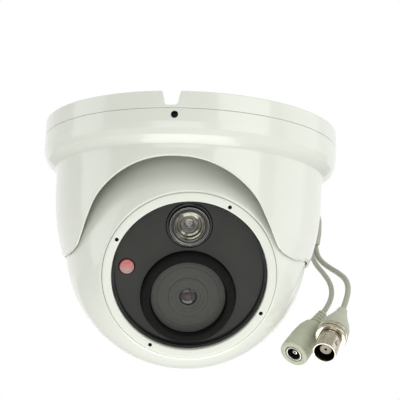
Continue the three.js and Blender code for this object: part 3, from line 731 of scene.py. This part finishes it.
def make_splitter():
    """Moulded body in which the cable divides into the two leads."""
    turned_piece("cable_splitter_body", "cable_splitter", "cable_grey", CABLE, [
        (0, SPLITTER_TOP), (2.5, SPLITTER_TOP, 0.4), (3.1, SPLITTER_TOP - 1.2, 1),
        (3.6, SPLITTER_TOP - 3.5, 2), (3.6, -29, 2), (3.2, -32, 2), (2.9, SPLITTER_BOTTOM, 0.5),
        (0, SPLITTER_BOTTOM),
    ], FINE, Matrix.Translation(along_cable(DROP_AT, 0)))


def make_grommet():
    """Block that fills the notch, with a ribbed boot round the cable outside it."""
    seat_size = (5.4, REAR_NOTCH_W - 2, 5.5)
    seat = soften(block("cable_grommet_boot", seat_size, (57.6, 0, 0), OUTWARD), 0.4, 3)
    rib = [(0, 0, 0.2), (0.95, 0, 0.2), (1.1, 0.32, 0.1), (1.6, 0.32, 0.1)]
    boot = turned("boot", [
        (0, GROMMET_START), (2.8, GROMMET_START), *ribs(4, 60.6, 1.7, 2.8, -0.07, rib),
        (2.5, GROMMET_END, 0.3), (0, GROMMET_END),
    ], FINE, AXIS_OUT)
    join(seat, boot)
    cut(seat, rod(CABLE_R + GAP, 50, 70, AXIS_OUT))
    finish_piece(seat, "cable_grommet", "black_rubber", RUBBER)


def make_inner_plug():
    """Small white board connector with its opening and latch."""
    middle = FLOOR_TOP + GAP + PLUG_SIZE[2] / 2
    top = middle + PLUG_SIZE[2] / 2
    plug = soften(block("inner_plug_shell", PLUG_SIZE, (41.2, 0, middle), CABLE_TURN), 0.35, 3)
    cut(plug, block("opening", (5, 6.4, 2), (37, 0, middle), CABLE_TURN),
        block("latch", (5, 3, 1), (40, 0, top), CABLE_TURN))
    finish_piece(plug, "inner_plug", "nylon", NYLON)


DC_NECK, DC_DIRECTION = (55.7, 26.2, -70.8), (-0.408, -0.588, -0.697)
BNC_NECK, BNC_DIRECTION = (63.9, 21.2, -70), (-0.233, -0.697, -0.68)
DC_FRAME = Matrix.Translation(DC_NECK) @ towards(DC_DIRECTION)
BNC_FRAME = Matrix.Translation(BNC_NECK) @ towards(BNC_DIRECTION)
NICKEL_DC = metal("nickel_dc", (0.66, 0.64, 0.57), (0.50, 0.48, 0.41), 0.14, DC_FRAME)
NICKEL_BNC = metal("nickel_bnc", (0.60, 0.56, 0.47), (0.42, 0.38, 0.30), 0.14, BNC_FRAME)
# Dark copy of the nickel for the sleeve's bore: painted shade inside the socket.
BNC_BORE_SHADE = metal("nickel_bore_painted_shade", (0.085, 0.068, 0.050), (0.040, 0.030, 0.022), 0.3, BNC_FRAME)


def make_dc_jack():
    """Power socket on its ribbed neck: a moulded body round a nickel sleeve and pin."""
    rib = [(0, 0, 0.25), (1.2, 0, 0.25), (1.3, 0.45, 0.12), (1.86, 0.45, 0.12)]
    neck = turned("power_plug_strain_relief", [
        (0, 0.3), *ribs(4, 0.3, 1.925, 2, 0.7 / 3, rib), (0, 7.96),
    ], FINE, DC_FRAME)
    finish_piece(neck, "dc_strain_relief", "cable_grey", BOOT)
    body = turned("power_plug_body", [
        (0, 8.3), (3, 8.3, 0.4), (4.2, 9.8, 1.5), (5.2, 13, 3), (5.8, 18, 4), (6, 24, 3),
        (6, 27.7, 0.7), (3.8, 27.7, 0.25), (3.8, 17), (0, 17),
    ], MEDIUM, DC_FRAME)
    finish_piece(body, "dc_jack_body", "cable_grey", BOOT)
    sleeve = turned("power_plug_sleeve", [
        (0, 17.3), (3.5, 17.3), (3.5, 27.7, 0.2), (2.75, 27.7, 0.2), (2.75, 18.5), (0, 18.5),
    ], FINE, DC_FRAME)
    # The inside of the sleeve gets the black material: painted shade inside the socket.
    paint_inside(sleeve, DC_FRAME, 2.8, 18.4, 27.3)
    finish_piece(sleeve, "dc_jack_sleeve", "nickel", NICKEL_DC, BLACK_AND_PAINTED_SHADE)
    pin = turned("power_plug_pin", [
        (0, 18.8), (1.05, 18.8), (1.05, 26.6, 0.35), (0.45, 26.6, 0.1), (0.45, 25.4), (0, 25.4),
    ], FINE, DC_FRAME)
    finish_piece(pin, "dc_jack_pin", "nickel", NICKEL_DC)


def make_bnc_plug():
    """Video plug: a flared boot, a nickel collar and a lugged sleeve round an insulator."""
    boot = turned("video_plug_boot", [
        (0, 0.3), (2.1, 0.3, 0.4), (2.5, 2.5, 2), (3.6, 6, 3), (5.2, 10, 3), (6.2, 13.2, 2),
        (6.4, 16, 0.4), (0, 16),
    ], MEDIUM, BNC_FRAME)
    finish_piece(boot, "bnc_boot", "cable_grey", BOOT)
    turned_piece("video_plug_collar", "bnc_collar", "nickel", NICKEL_BNC, [
        (0, 16.3), (6.5, 16.3, 0.4), (6.5, 18, 0.25), (5.8, 18.2, 0.1), (5.8, 18.75, 0.1),
        (6.5, 18.95, 0.25), (6.5, 20.4, 0.4), (0, 20.4),
    ], MEDIUM, BNC_FRAME)
    sleeve = turned("video_plug_sleeve", [
        (0, 20.7), (4.85, 20.7), (4.85, 30, 0.25), (4.1, 30, 0.3), (4.1, 22), (0, 22),
    ], MEDIUM, BNC_FRAME)
    for side in (-1, 1):
        lug_frame = BNC_FRAME @ Matrix.Translation((0, 0, 25.4)) @ towards((side, 0, 0))
        lug = [(0, 4.4), (0.95, 4.4), (0.95, 5.6, 0.25), (0, 5.6)]
        join(sleeve, turned("lug", lug, FINE, lug_frame))
    # The bore of the sleeve gets the dark nickel: painted shade.
    paint_inside(sleeve, BNC_FRAME, 4.12, 21.9, 29.6)
    finish_piece(sleeve, "bnc_sleeve", "nickel", NICKEL_BNC, BNC_BORE_SHADE)
    insulator = turned("video_plug_insulator", [
        (0, 22.3), (2.4, 22.3), (2.4, 27.7, 0.35), (0.55, 27.7, 0.2), (0.55, 24.5), (0, 24.5),
    ], FINE, BNC_FRAME)
    # The pin hole gets the black material: painted shade inside the hole.
    paint_inside(insulator, BNC_FRAME, 0.6, 24, 27.4)
    finish_piece(insulator, "bnc_insulator", "nylon", INSULATOR, BLACK_AND_PAINTED_SHADE)


make_splitter()
make_grommet()
make_inner_plug()
make_dc_jack()
make_bnc_plug()

# ---- Base ----


def notch_tool(width, depth, azimuth, corner, slant):
    """U-shaped cutter through the rim, narrowing by a slant towards its round corners."""
    half = width / 2
    start, turn, end = (Vector((half - corner, -depth)), Vector((half - slant - 0.1, -depth)),
                        Vector((half - slant, corner - depth)))
    side = [*corner_curve(start, turn, end, 8), (half + 0.2, 1)]
    outline = [*[(-x, z) for x, z in reversed(side)], *side]
    place = spin(azimuth, "Z") @ Matrix.Translation((0, -55, 0)) @ spin(90, "X")
    return prism("notch", outline, 0, 6, place)


def make_base():
    """Stepped ring with a floor, screw bosses and two notches in its rim."""
    rim_inner, spigot_inner = BASE_R - BASE_WALL, SPIGOT_R - BASE_WALL
    ledge = -REAR_NOTCH_DEPTH
    groove_top, groove_bottom = SCREW_Z + GROOVE_HALF, SCREW_Z - GROOVE_HALF
    base = turned("ceiling_base", [
        (BASE_R, 0, 0.5), (BASE_R, -BASE_H, 0.16), (SPIGOT_R, -BASE_H),
        (SPIGOT_R, groove_top, 0.15), (GROOVE_R, groove_top),
        (GROOVE_R, groove_bottom), (SPIGOT_R, groove_bottom, 0.15),
        (SPIGOT_R, SPIGOT_BOTTOM, 0.4), (LIP_R + 2.3, SPIGOT_BOTTOM, 0.4),
        (LIP_R + 2.3, LIP_BOTTOM, 0.3), (LIP_R, LIP_BOTTOM, 0.3), (LIP_R, SPIGOT_BOTTOM),
        (BALL_OPENING_R, SPIGOT_BOTTOM, 0.4), (BALL_OPENING_R, FLOOR_TOP, 0.6),
        (spigot_inner, FLOOR_TOP, 0.8), (spigot_inner, ledge, 0.4), (rim_inner, ledge, 0.5),
        (rim_inner, 0, 0.3),
    ], LARGE)
    for azimuth in BOSS_AZIMUTHS:
        at = (direction(azimuth) * BOSS_PITCH_R).xy
        boss = [(0, FLOOR_TOP - 1), (BOSS_R, FLOOR_TOP - 1), (BOSS_R, 0, 0.5), (0, 0)]
        join(base, turned("boss", boss, FINE, at=at))
        cut(base, rod(BOSS_BORE_R, SPIGOT_BOTTOM - 1, -0.6, at=at, mouth=(BOSS_BORE_R + 1.2, 0.6)))
    cut(base, notch_tool(NOTCH_W, NOTCH_DEPTH, NOTCH_AZIMUTH, 2.3, 0.8),
        notch_tool(REAR_NOTCH_W, REAR_NOTCH_DEPTH, CABLE_AZIMUTH, 2, 0.4))
    finish_piece(base, "base_plate", "white_paint", WHITE)


make_base()

# ---- Cover, drawn as columns round its skirt ----

COVER_TOP = -BASE_H - SEAM
WALL_TOP = -21  # where the skirt meets the flange
SKIRT_WALL = 2.1
SKIRT_OUTSIDE = [(WALL_TOP, 54.5), (-32, 54.3), (-39.5, 53.6), (-44.5, 52.8), (-48.3, 51.9),
                 (-51.5, 51), (SKIRT_BACK, 50.2), (-55.8, 49.8), (SKIRT_BOTTOM, 49.5)]
SEAT_TOP = -51.5  # below it the inside of the skirt follows the ball
SKIRT_INSIDE = [*[(z, r - SKIRT_WALL) for z, r in SKIRT_OUTSIDE[:5]], (SEAT_TOP, 49.35)]
ARCH_SIDE = [(0, -23.6), (7.6, -24.1), (15.6, -26.2), (23.7, -30.5), (30.8, -37), (35, -44.5),
             (38.2, -51.5), (39.6, -54), (42, -55.8), (44.8, SKIRT_BOTTOM), (47.2, -55.8),
             (48.6, -54.8), (49.4, SKIRT_BACK)]
FLANGE_OUTSIDE = [(54.5, WALL_TOP, 0), (54.75, -19.2, 1.1), (56.6, -17.9, 1.5),
                  (58.4, -16.4, 1.5), (59.6, -14.2, 1.5), (BASE_R, -11.8, 1), (BASE_R, -9.3, 0),
                  (BASE_R, COVER_TOP, 0.16)]
FLANGE_INSIDE = [(57, COVER_TOP, 0.2), (57, -12.6, 0.3), (55.8, -15, 0.6), (53.6, -17.1, 0.8),
                 (54.5 - SKIRT_WALL, WALL_TOP, 0)]
COVER_COLUMNS = 720
LIP_ROUND = 0.42
LIP_SHARE = 0.36  # of the wall's thickness, where the wall is thin
LIP_STEPS = 5
SKIRT_ROWS = 26


def table_value(table, at):
    """Smooth value of a table of (place, value) pairs, places falling."""
    at = max(min(at, table[0][0]), table[-1][0])
    for i, ((x0, y0), (x1, y1)) in enumerate(zip(table, table[1:])):
        if x1 <= at:
            before = table[i - 1] if i else (x0, y0)
            after = table[i + 2] if i + 2 < len(table) else (x1, y1)
            slope0 = (y1 - before[1]) / (x1 - before[0])
            slope1 = (after[1] - y0) / (after[0] - x0)
            span = x1 - x0
            t = (at - x0) / span
            return ((2 * t ** 3 - 3 * t ** 2 + 1) * y0 + (t ** 3 - 2 * t ** 2 + t) * span * slope0
                    + (3 * t ** 2 - 2 * t ** 3) * y1 + (t ** 3 - t ** 2) * span * slope1)
    return table[-1][1]


def outside_radius(z):
    return table_value(SKIRT_OUTSIDE, z)


def inside_radius(z):
    if z < SEAT_TOP:
        return math.sqrt(SEAT_R ** 2 - (z - BALL_Z) ** 2) + 0.1
    return table_value(SKIRT_INSIDE, z)


MIRRORED = (-ARCH_SIDE[1][0], ARCH_SIDE[1][1])  # keeps the curve level at the middle
ARCH_LINE = smooth_line([(x, z, 0) for x, z in [MIRRORED, *ARCH_SIDE]], 24)


def arch_height(x):
    """Height of the arch's edge over a distance from the middle of the front."""
    x = abs(x)
    for (x0, z0, _), (x1, z1, _) in zip(ARCH_LINE, ARCH_LINE[1:]):
        if x0 <= x <= x1 and x1 > x0:
            return z0 + (z1 - z0) * (x - x0) / (x1 - x0)
    return SKIRT_BACK


def edge_height(azimuth, radius_at):
    """Height at which the arch or the skirt's bottom cuts one face of the wall."""
    if math.cos(azimuth) < 0:
        return SKIRT_BACK
    sideways = math.sin(azimuth)
    low, high = SKIRT_BOTTOM - 2, -22
    for _ in range(30):
        middle = (low + high) / 2
        if arch_height(radius_at(middle) * sideways) > middle:
            low = middle
        else:
            high = middle
    return max(low, SKIRT_BOTTOM)


def edge_run(azimuths, radius_at):
    """Rounded edge of one face of the wall: for each column, points from the cut to the face."""
    heights = [edge_height(a, radius_at) for a in azimuths]
    step = azimuths[1] - azimuths[0]
    inward = -1 if radius_at is outside_radius else 1
    run = []
    for i, (azimuth, z) in enumerate(zip(azimuths, heights)):
        radius = radius_at(z)
        rise = heights[(i + 1) % COVER_COLUMNS] - heights[i - 1]
        slope = rise / (2 * step * radius)
        length = math.hypot(slope, 1)
        round_by = min(LIP_ROUND, LIP_SHARE * (outside_radius(z) - inside_radius(z)))
        points = []
        for k in range(LIP_STEPS + 1):
            angle = math.pi / 2 * k / LIP_STEPS
            along = round_by * (1 - math.cos(angle))
            deep = round_by * (1 - math.sin(angle))
            here = z + along / length
            turn = azimuth - along * slope / length / radius
            points.append((turn, radius_at(here) + inward * deep, here))
        run.append(points)
    return run


def wall_rows(azimuth, edge_end, radius_at):
    """Points of one column between its edge and the flange, on one face of the wall."""
    turn, _, start = edge_end
    points = []
    for row in range(1, SKIRT_ROWS):
        t = row / SKIRT_ROWS
        z = start + (WALL_TOP - start) * t
        points.append((turn + (azimuth - turn) * t, radius_at(z), z))
    return points


def make_cover():
    """Skirt with an arch cut out of its front, under a flange that fits round the base."""
    azimuths = [-math.pi + 2 * math.pi / COVER_COLUMNS * i for i in range(COVER_COLUMNS)]
    outer_edge = edge_run(azimuths, outside_radius)
    inner_edge = edge_run(azimuths, inside_radius)
    flange = rounded([*FLANGE_OUTSIDE, *FLANGE_INSIDE])
    columns = []
    for azimuth, outer, inner in zip(azimuths, outer_edge, inner_edge):
        columns.append([
            *outer, *wall_rows(azimuth, outer[-1], outside_radius),
            *[(azimuth, r, z) for r, z in flange],
            *reversed(wall_rows(azimuth, inner[-1], inside_radius)), *reversed(inner),
        ])
    height = len(columns[0])
    vertices = [(r * math.sin(a), -r * math.cos(a), z) for column in columns for a, r, z in column]
    faces = []
    for i in range(COVER_COLUMNS):
        j = (i + 1) % COVER_COLUMNS
        for k in range(height):
            m = (k + 1) % height
            faces.append([i * height + k, i * height + m, j * height + m, j * height + k])
    cover = new_object("turret_shell", vertices, faces)
    places = [grub_frame(azimuth) for azimuth in SCREW_AZIMUTHS]
    mouth = (SCREW_HOLE_R + 0.2, SCREW_HOLE_END + 0.3)
    cut(cover, *[rod(SCREW_HOLE_R, SCREW_HOLE_START, SCREW_HOLE_END, place, mouth=mouth)
                 for place in places])
    # The walls of the screw holes get the black material: painted shade inside the holes.
    for place in places:
        paint_inside(cover, place, SCREW_HOLE_R + 0.05, SCREW_HOLE_START, SCREW_HOLE_END)
    finish_piece(cover, "turret_cover", "white_paint", WHITE, BLACK_AND_PAINTED_SHADE, sharp=40)


def grub_frame(azimuth):
    """Frame on the camera's axis whose Z points out along a grub screw."""
    return Matrix.Translation((0, 0, SCREW_Z)) @ towards(direction(azimuth))


def make_screw(name, node, radius, start, end, socket, depth, place):
    """Headless screw with a hexagon socket and a chamfered tip."""
    screw = turned(name, [(0, start), (radius - 0.35, start, 0.1), (radius, start + 0.4, 0.1),
                          (radius, end, 0.22), (0, end)], FINE, place)
    cut(screw, prism("socket", regular(6, socket), end - depth, end + 1, place))
    finish_piece(screw, node, "steel", BLACK_STEEL)


make_cover()
for index, azimuth in enumerate(SCREW_AZIMUTHS, start=1):
    make_screw(f"grub_screw_{index}", f"set_screw_{index}", 1.05, GROOVE_R + 0.35, BASE_R - 1.4,
               0.62, 1.2, grub_frame(azimuth))

# ---- Ball ----

EXIT_SLOPE = math.radians(EXIT_ANGLE)
EXIT = BALL_FRAME @ towards((0, math.sin(EXIT_SLOPE), math.cos(EXIT_SLOPE)))


def screw_frame(side):
    x, y, z = SIDE_SCREW_AT
    return BALL_FRAME @ towards((side * x, y, z))


def screw_bores():
    return [rod(1.5, 40, 52, screw_frame(side)) for side in (-1, 1)]


def slab(low):
    """Cutter for everything above a height along the cable's exit."""
    return block("slab", (130, 130, 60), (0, 0, low + 30), EXIT)


def make_front_shell():
    """Front half of the ball, with the bore that the eye turns in and the ledge behind it."""
    bore_angle = 46.1  # from the optical axis to the ball's edge at the bore
    ledge_angle = math.degrees(math.acos(LEDGE_BACK / BALL_INNER_R))
    front = turned("ball_front", [
        (SPLIT_R, GAP / 2), *sphere_arc(BALL_R, 89.6, bore_angle, 72), (34.7, 34.4, 0.3),
        (BORE_R, 34.75, 0.15), (BORE_R, LEDGE_FRONT), (LEDGE_R, LEDGE_FRONT, 0.2),
        (LEDGE_R, LEDGE_BACK, 0.2), *sphere_arc(BALL_INNER_R, ledge_angle, 89.8, 30),
        (BALL_INNER_R, GAP / 2),
    ], LARGE, BALL_FRAME)
    cut(front, *screw_bores())
    finish_piece(front, "ball_front_shell", "white_paint", WHITE)


def make_rear_shell():
    """Rear half of the ball: a collar inside the front half, and a flat for the gland."""
    rear = turned("ball_rear", [
        (0, COLLAR_TOP), (COLLAR_R, COLLAR_TOP, 0.4), (COLLAR_R, -GAP / 2), (SPLIT_R, -GAP / 2),
        *sphere_arc(BALL_R, 90.4, 180, 72)[:-1], (0, -BALL_R),
    ], LARGE, BALL_FRAME)
    collar_angle = 180 - math.degrees(math.asin(COLLAR_BORE_R / BALL_INNER_R))
    cavity = turned("cavity", [
        (0, COLLAR_TOP + 1), (COLLAR_BORE_R, COLLAR_TOP + 1),
        *sphere_arc(BALL_INNER_R, collar_angle, 180, 40)[:-1], (0, -BALL_INNER_R),
    ], MEDIUM, BALL_FRAME)
    cut(cavity, slab(BALL_FLAT - 2.6))
    cut(rear, slab(BALL_FLAT), cavity, rod(3.6, 30, 42, EXIT), *screw_bores())
    finish_piece(rear, "ball_rear_shell", "white_paint", WHITE)


def make_gland():
    """Rubber gland on the flat, where the lead leaves the ball."""
    rib = [(0, 0, 0.15), (0.55, 0, 0.15), (0.62, 0.4, 0.1)]
    turned_piece("ball_cable_gland", "ball_gland", "black_rubber", RUBBER, [
        (1.6, BALL_FLAT - 3), (3.3, BALL_FLAT - 3), (3.3, BALL_FLAT + GAP),
        (6.5, BALL_FLAT + GAP, 0.3), (6.5, BALL_FLAT + 2, 0.6),
        *ribs(3, BALL_FLAT + 2.5, 1, 4.6, -0.3, rib),
        (3.7, BALL_FLAT + 5.4, 0.3), (1.6, BALL_FLAT + 5.4, 0.2),
    ], FINE, EXIT)


make_front_shell()
make_rear_shell()
for side, name in ((-1, "left"), (1, "right")):
    make_screw(f"ball_side_screw_{name}", f"ball_screw_{name}", 1.2, 43.6, 48, 0.7, 1.2,
               screw_frame(side))
make_gland()

# ---- Camera module ----


def on_eye(at):
    """Frame on a point of the eye's face."""
    return EYE_FRAME @ Matrix.Translation((*at, 0))


def make_ring():
    """White ring round the window, with four small holes."""
    ring = turned("eye_front_ring", [
        (WINDOW_R, RING_BACK), (RING_R, RING_BACK, 0.2), (RING_R + 0.22, RING_BACK + 1.5),
        (RING_R + 0.22, RING_FRONT, 0.7), (WINDOW_R, RING_FRONT, 0.55),
    ], LARGE, EYE_FRAME)
    places = regular(4, RING_HOLES_PITCH_R, RING_HOLES_TURN)
    low, high = RING_FRONT - 2, RING_FRONT - 0.1
    mouth = (RING_HOLE_R + 0.1, RING_FRONT + 0.05)
    cut(ring, *[rod(RING_HOLE_R, low, high, EYE_FRAME, at, mouth, sides=32) for at in places])
    # The small holes' walls get the black material: painted shade inside the holes.
    for at in places:
        paint_inside(ring, on_eye(at), RING_HOLE_R + 0.03, low - 0.1, high - 0.02)
    finish_piece(ring, "front_ring", "white_paint", WHITE_SATIN, BLACK_AND_PAINTED_SHADE)


def make_window():
    """Dark panel with bevelled holes for the lens, the lamp and the light sensor."""
    sheet = turned("window_panel_sheet", [
        (0, PANEL_BACK), (WINDOW_EDGE, PANEL_BACK, 0.2), (WINDOW_EDGE, PANEL_FRONT, 0.3),
        (0, PANEL_FRONT),
    ], LARGE, EYE_FRAME)
    holes = ((LENS_AT, HOOD_R + GAP), (LED_AT, LED_HOLE_R), (SENSOR_AT, SENSOR_HOLE_R))
    for at, radius in holes:
        mouth = (radius + 0.3, PANEL_FRONT + 0.05)
        cut(sheet, rod(radius, 25, PANEL_FRONT - 0.25, EYE_FRAME, at, mouth))
    finish_piece(sheet, "window_panel", "panel_grey", PANEL)


def make_gasket():
    top = PANEL_FRONT + 1.8
    turned_piece("window_gasket_ring", "window_gasket", "black_rubber", RUBBER, [
        (29, PANEL_FRONT + GAP), (WINDOW_EDGE, PANEL_FRONT + GAP),
        (WINDOW_EDGE, top, 0.25), (29, top, 0.25),
    ], LARGE, EYE_FRAME)


def make_lens():
    """Foam hood, ringed plate, threaded barrel and domed front glass."""
    turned_piece("lens_hood_ring", "lens_hood", "black_plastic", FOAM, [
        (HOOD_BORE_R, 24.5), (HOOD_R - 1.2, 24.5), (HOOD_R - 1.2, 29.9), (HOOD_R, 29.9),
        (HOOD_R, HOOD_FRONT, 1.6), (HOOD_BORE_R, HOOD_FRONT, 0.6),
    ], MEDIUM, EYE_FRAME, LENS_AT)

    turned_piece("lens_plate_disc", "lens_plate", "panel_grey", PLATE, [
        (7.8, PLATE_BACK), (HOOD_BORE_R - GAP, PLATE_BACK), (HOOD_BORE_R - GAP, PLATE_FRONT, 0.4),
        (12.6, PLATE_FRONT), (12.45, 32.5, 0.05), (12.2, 32.5, 0.05), (12.05, PLATE_FRONT),
        (7.8, PLATE_FRONT, 0.12),
    ], MEDIUM, EYE_FRAME, LENS_AT)

    thread = [(0, 0, 0), (0.25, 0.25, 0), (0.4, 0.25, 0), (0.65, 0, 0)]
    turned_piece("lens_barrel_body", "lens_barrel", "black_plastic", PLATE, [
        (3.4, 17.6), (6, 17.6, 0.2), *ribs(7, 18.4, 0.8, 6, 0, thread), (6, 25),
        (7.5, 25.4, 0.2), (7.76, 26, 0.2), (7.76, 32.68, 0.08), (6.3, 32.7, 0.1),
        (6.15, 32.58, 0.1), (4.9, 32.55, 0.1), (4.75, 32.42, 0.1), (3.5, 32.4, 0.08),
        (3.4, 32.3), (3.4, 18),
    ], MEDIUM, EYE_FRAME, LENS_AT)

    front = turned("lens_front_element", [
        (0, 27.4), (3.3, 27.4), (3.3, 31.9), (3, 32.08), (2.6, 32.24), (2.1, 32.39), (1.6, 32.49),
        (1.1, 32.55), (0.5, 32.59), (0, 32.6),
    ], FINE, EYE_FRAME, LENS_AT)
    finish_piece(front, "lens_front_glass", "lens_glass", GLASS)


def make_lamp():
    """Bezel and ringed lens of the infrared lamp."""
    turned_piece("infrared_bezel", "ir_collar", "panel_grey", PANEL, [
        (LED_LENS_R + 0.1, 30.6), (LED_LENS_R + 1.2, 30.6), (LED_LENS_R + 1.2, 32.4, 0.35),
        (LED_LENS_R + 0.6, 32.5, 0.3), (LED_LENS_R + 0.1, 32.4, 0.15),
    ], FINE, EYE_FRAME, LED_AT)

    lens = turned("infrared_lens", [
        (0, 29.4), (4.6, 29.4, 0.3), (5.9, 30.3, 0.3), (6.05, 32.6, 0.2), (LED_LENS_R, 32.7, 0.15),
        (LED_LENS_R, 33.9, 0.35), (7.15, 33.85, 0.12), (6.85, 33.45, 0.12), (6.1, 33.45, 0.12),
        (5.95, 33.8, 0.12), (5.6, 33.8, 0.12), (5.45, 32.7, 0.15), (4.75, 32.5, 0.18),
        (4.5, 31.4, 0.15), (3.6, 31.1, 0.18), (3.4, 30.4, 0.15), (BULB_R, 30.2, 0.1),
        (1.9, 30.5), (1.6, 30.9), (1.1, 31.2), (0.5, 31.35), (0, 31.38),
    ], MEDIUM, EYE_FRAME, LED_AT)
    mirror, flange, edge = 1, 2, 3  # places of their materials, after the clear one
    for face, middle, radius in faces_round(lens, on_eye(LED_AT)):
        bowl = BULB_R < radius < 5.65 and middle.z > 30.1
        lip = 5.6 < radius < 6.1 and middle.z > 33
        rim = 6.9 < radius < 7.1 or radius > 7.45
        if bowl or lip:
            face.material_index = mirror
        elif rim and middle.z > 33.4:
            face.material_index = edge
        elif radius > 5:
            face.material_index = flange
    finish_piece(lens, "ir_lens", "clear", CLEAR, REFLECTOR, PANEL, ALUMINIUM, sharp=50)


def make_die():
    """Emitter under the lamp's lens, with a round window in its face."""
    place = EYE_FRAME @ Matrix.Translation((*LED_AT, DIE_Z))
    die = soften(block("infrared_die", DIE_SIZE, (0, 0, 0), place), 0.2, 2)
    cut(die, prism("window", regular(32, 0.9), 0.3, 1, place))
    paint_inside(die, place, 0.95, 0, 0.49)
    finish_piece(die, "ir_led", "chip", CHIP, DIE)


def make_light_sensor():
    """Round light sensor on two legs."""
    sensor = turned("light_sensor_cell", [
        (0, 30.6), (2.8, 30.6, 0.2), (2.8, 32.6, 0.5), (2.2, 32.6, 0.15), (2.1, 32.4, 0.1),
        (1.2, 32.5, 0.3), (0, 32.53),
    ], FINE, EYE_FRAME, SENSOR_AT)
    for x in (-1.2, 1.2):
        join(sensor, rod(0.35, 28.1, 31, EYE_FRAME, (SENSOR_AT[0] + x, SENSOR_AT[1]), sides=24))
    finish_piece(sensor, "light_sensor", "sensor_red", PHOTOCELL)


make_ring()
make_window()
make_gasket()
make_lens()
make_lamp()
make_die()
make_light_sensor()

# ---- CAD nodes that stay, with finished materials ----

KEPT = {
    "friction_ring": NYLON,
    "eye_seal_ring": RUBBER,
    "eye_housing": ALUMINIUM,
    "eye_retaining_nut": ALUMINIUM,
    "lens_holder": BLACK_AND_PAINTED_SHADE,
    "lens_rear_glass": CLEAR,
    "sensor_board": BOARD,
    "image_sensor": CHIP,
    "ir_board": BLACK_BOARD,
    "ir_heat_sink": ALUMINIUM,
    **{f"ir_board_post_{i}": BRASS for i in range(1, 5)},
    **{f"sensor_board_post_{i}": BRASS for i in range(1, 5)},
}
for node, material in KEPT.items():
    for slot in NODES[node].material_slots:
        slot.material = material

# ---- Stage, world and lights ----

FLOOR_DROP = -750  # far below, so that the object hangs free
FLOOR_HALF = 6000


def make_stage():
    """Pale floor under the object."""
    m = Material("pale_floor")
    m.tint(m.noise(260), (0.80, 0.80, 0.79), (0.84, 0.84, 0.83))
    m.roughen(m.noise(60), 0.7, 0.85)
    corners = [(-FLOOR_HALF, -FLOOR_HALF), (FLOOR_HALF, -FLOOR_HALF), (FLOOR_HALF, FLOOR_HALF),
               (-FLOOR_HALF, FLOOR_HALF)]
    floor = new_object("floor", [(x, y, FLOOR_DROP) for x, y in corners], [[0, 1, 2, 3]])
    floor.data.materials.append(m.data)


def make_world():
    """White behind the object and greyer behind the camera, as in a small white studio."""
    world = bpy.data.worlds.new("studio")
    world.use_nodes = True
    SCENE.world = world
    tree = world.node_tree
    place = tree.nodes.new("ShaderNodeTexCoord")
    split = tree.nodes.new("ShaderNodeSeparateXYZ")
    ramp = tree.nodes.new("ShaderNodeValToRGB")
    shift = tree.nodes.new("ShaderNodeMapRange")
    shift.inputs["From Min"].default_value = -1
    tree.links.new(place.outputs["Generated"], split.inputs["Vector"])
    tree.links.new(split.outputs["Y"], shift.inputs["Value"])
    tree.links.new(shift.outputs["Result"], ramp.inputs["Fac"])
    dim, bright = ramp.color_ramp.elements
    dim.position, dim.color = 0.3, (0.46, 0.47, 0.46, 1)
    bright.position, bright.color = 0.87, (1, 1, 1, 1)
    tree.links.new(ramp.outputs["Color"], tree.nodes["Background"].inputs["Color"])


def make_light(name, azimuth, elevation, distance, size, power):
    """Soft rectangular light facing the object."""
    back = direction(azimuth, elevation)
    data = bpy.data.lights.new(name, "AREA")
    data.shape = "RECTANGLE"
    data.size, data.size_y = size
    data.energy = power
    light = bpy.data.objects.new(name, data)
    light.visible_camera = False
    light.rotation_mode = "QUATERNION"
    light.location = EYE_POINT + back * distance
    light.rotation_quaternion = back.to_track_quat("Z", "Y")
    SCENE.collection.objects.link(light)


make_stage()
make_world()
make_light("softbox_left", -79, 14, 0.9, (0.5, 0.9), 1.6)
make_light("softbox_right", 46, 14, 0.9, (0.64, 0.9), 3.2)
make_light("softbox_side", 100, 10, 0.9, (0.6, 0.9), 0.9)
make_light("softbox_top", -10, 58, 1.0, (0.6, 0.5), 0.6)
make_light("softbox_front", -4, -10, 1.0, (0.7, 0.5), 1.7)
make_light("table_bounce", 0, -90, 0.36, (0.3, 0.3), 0.7)
SCENE.view_settings.view_transform = "Standard"
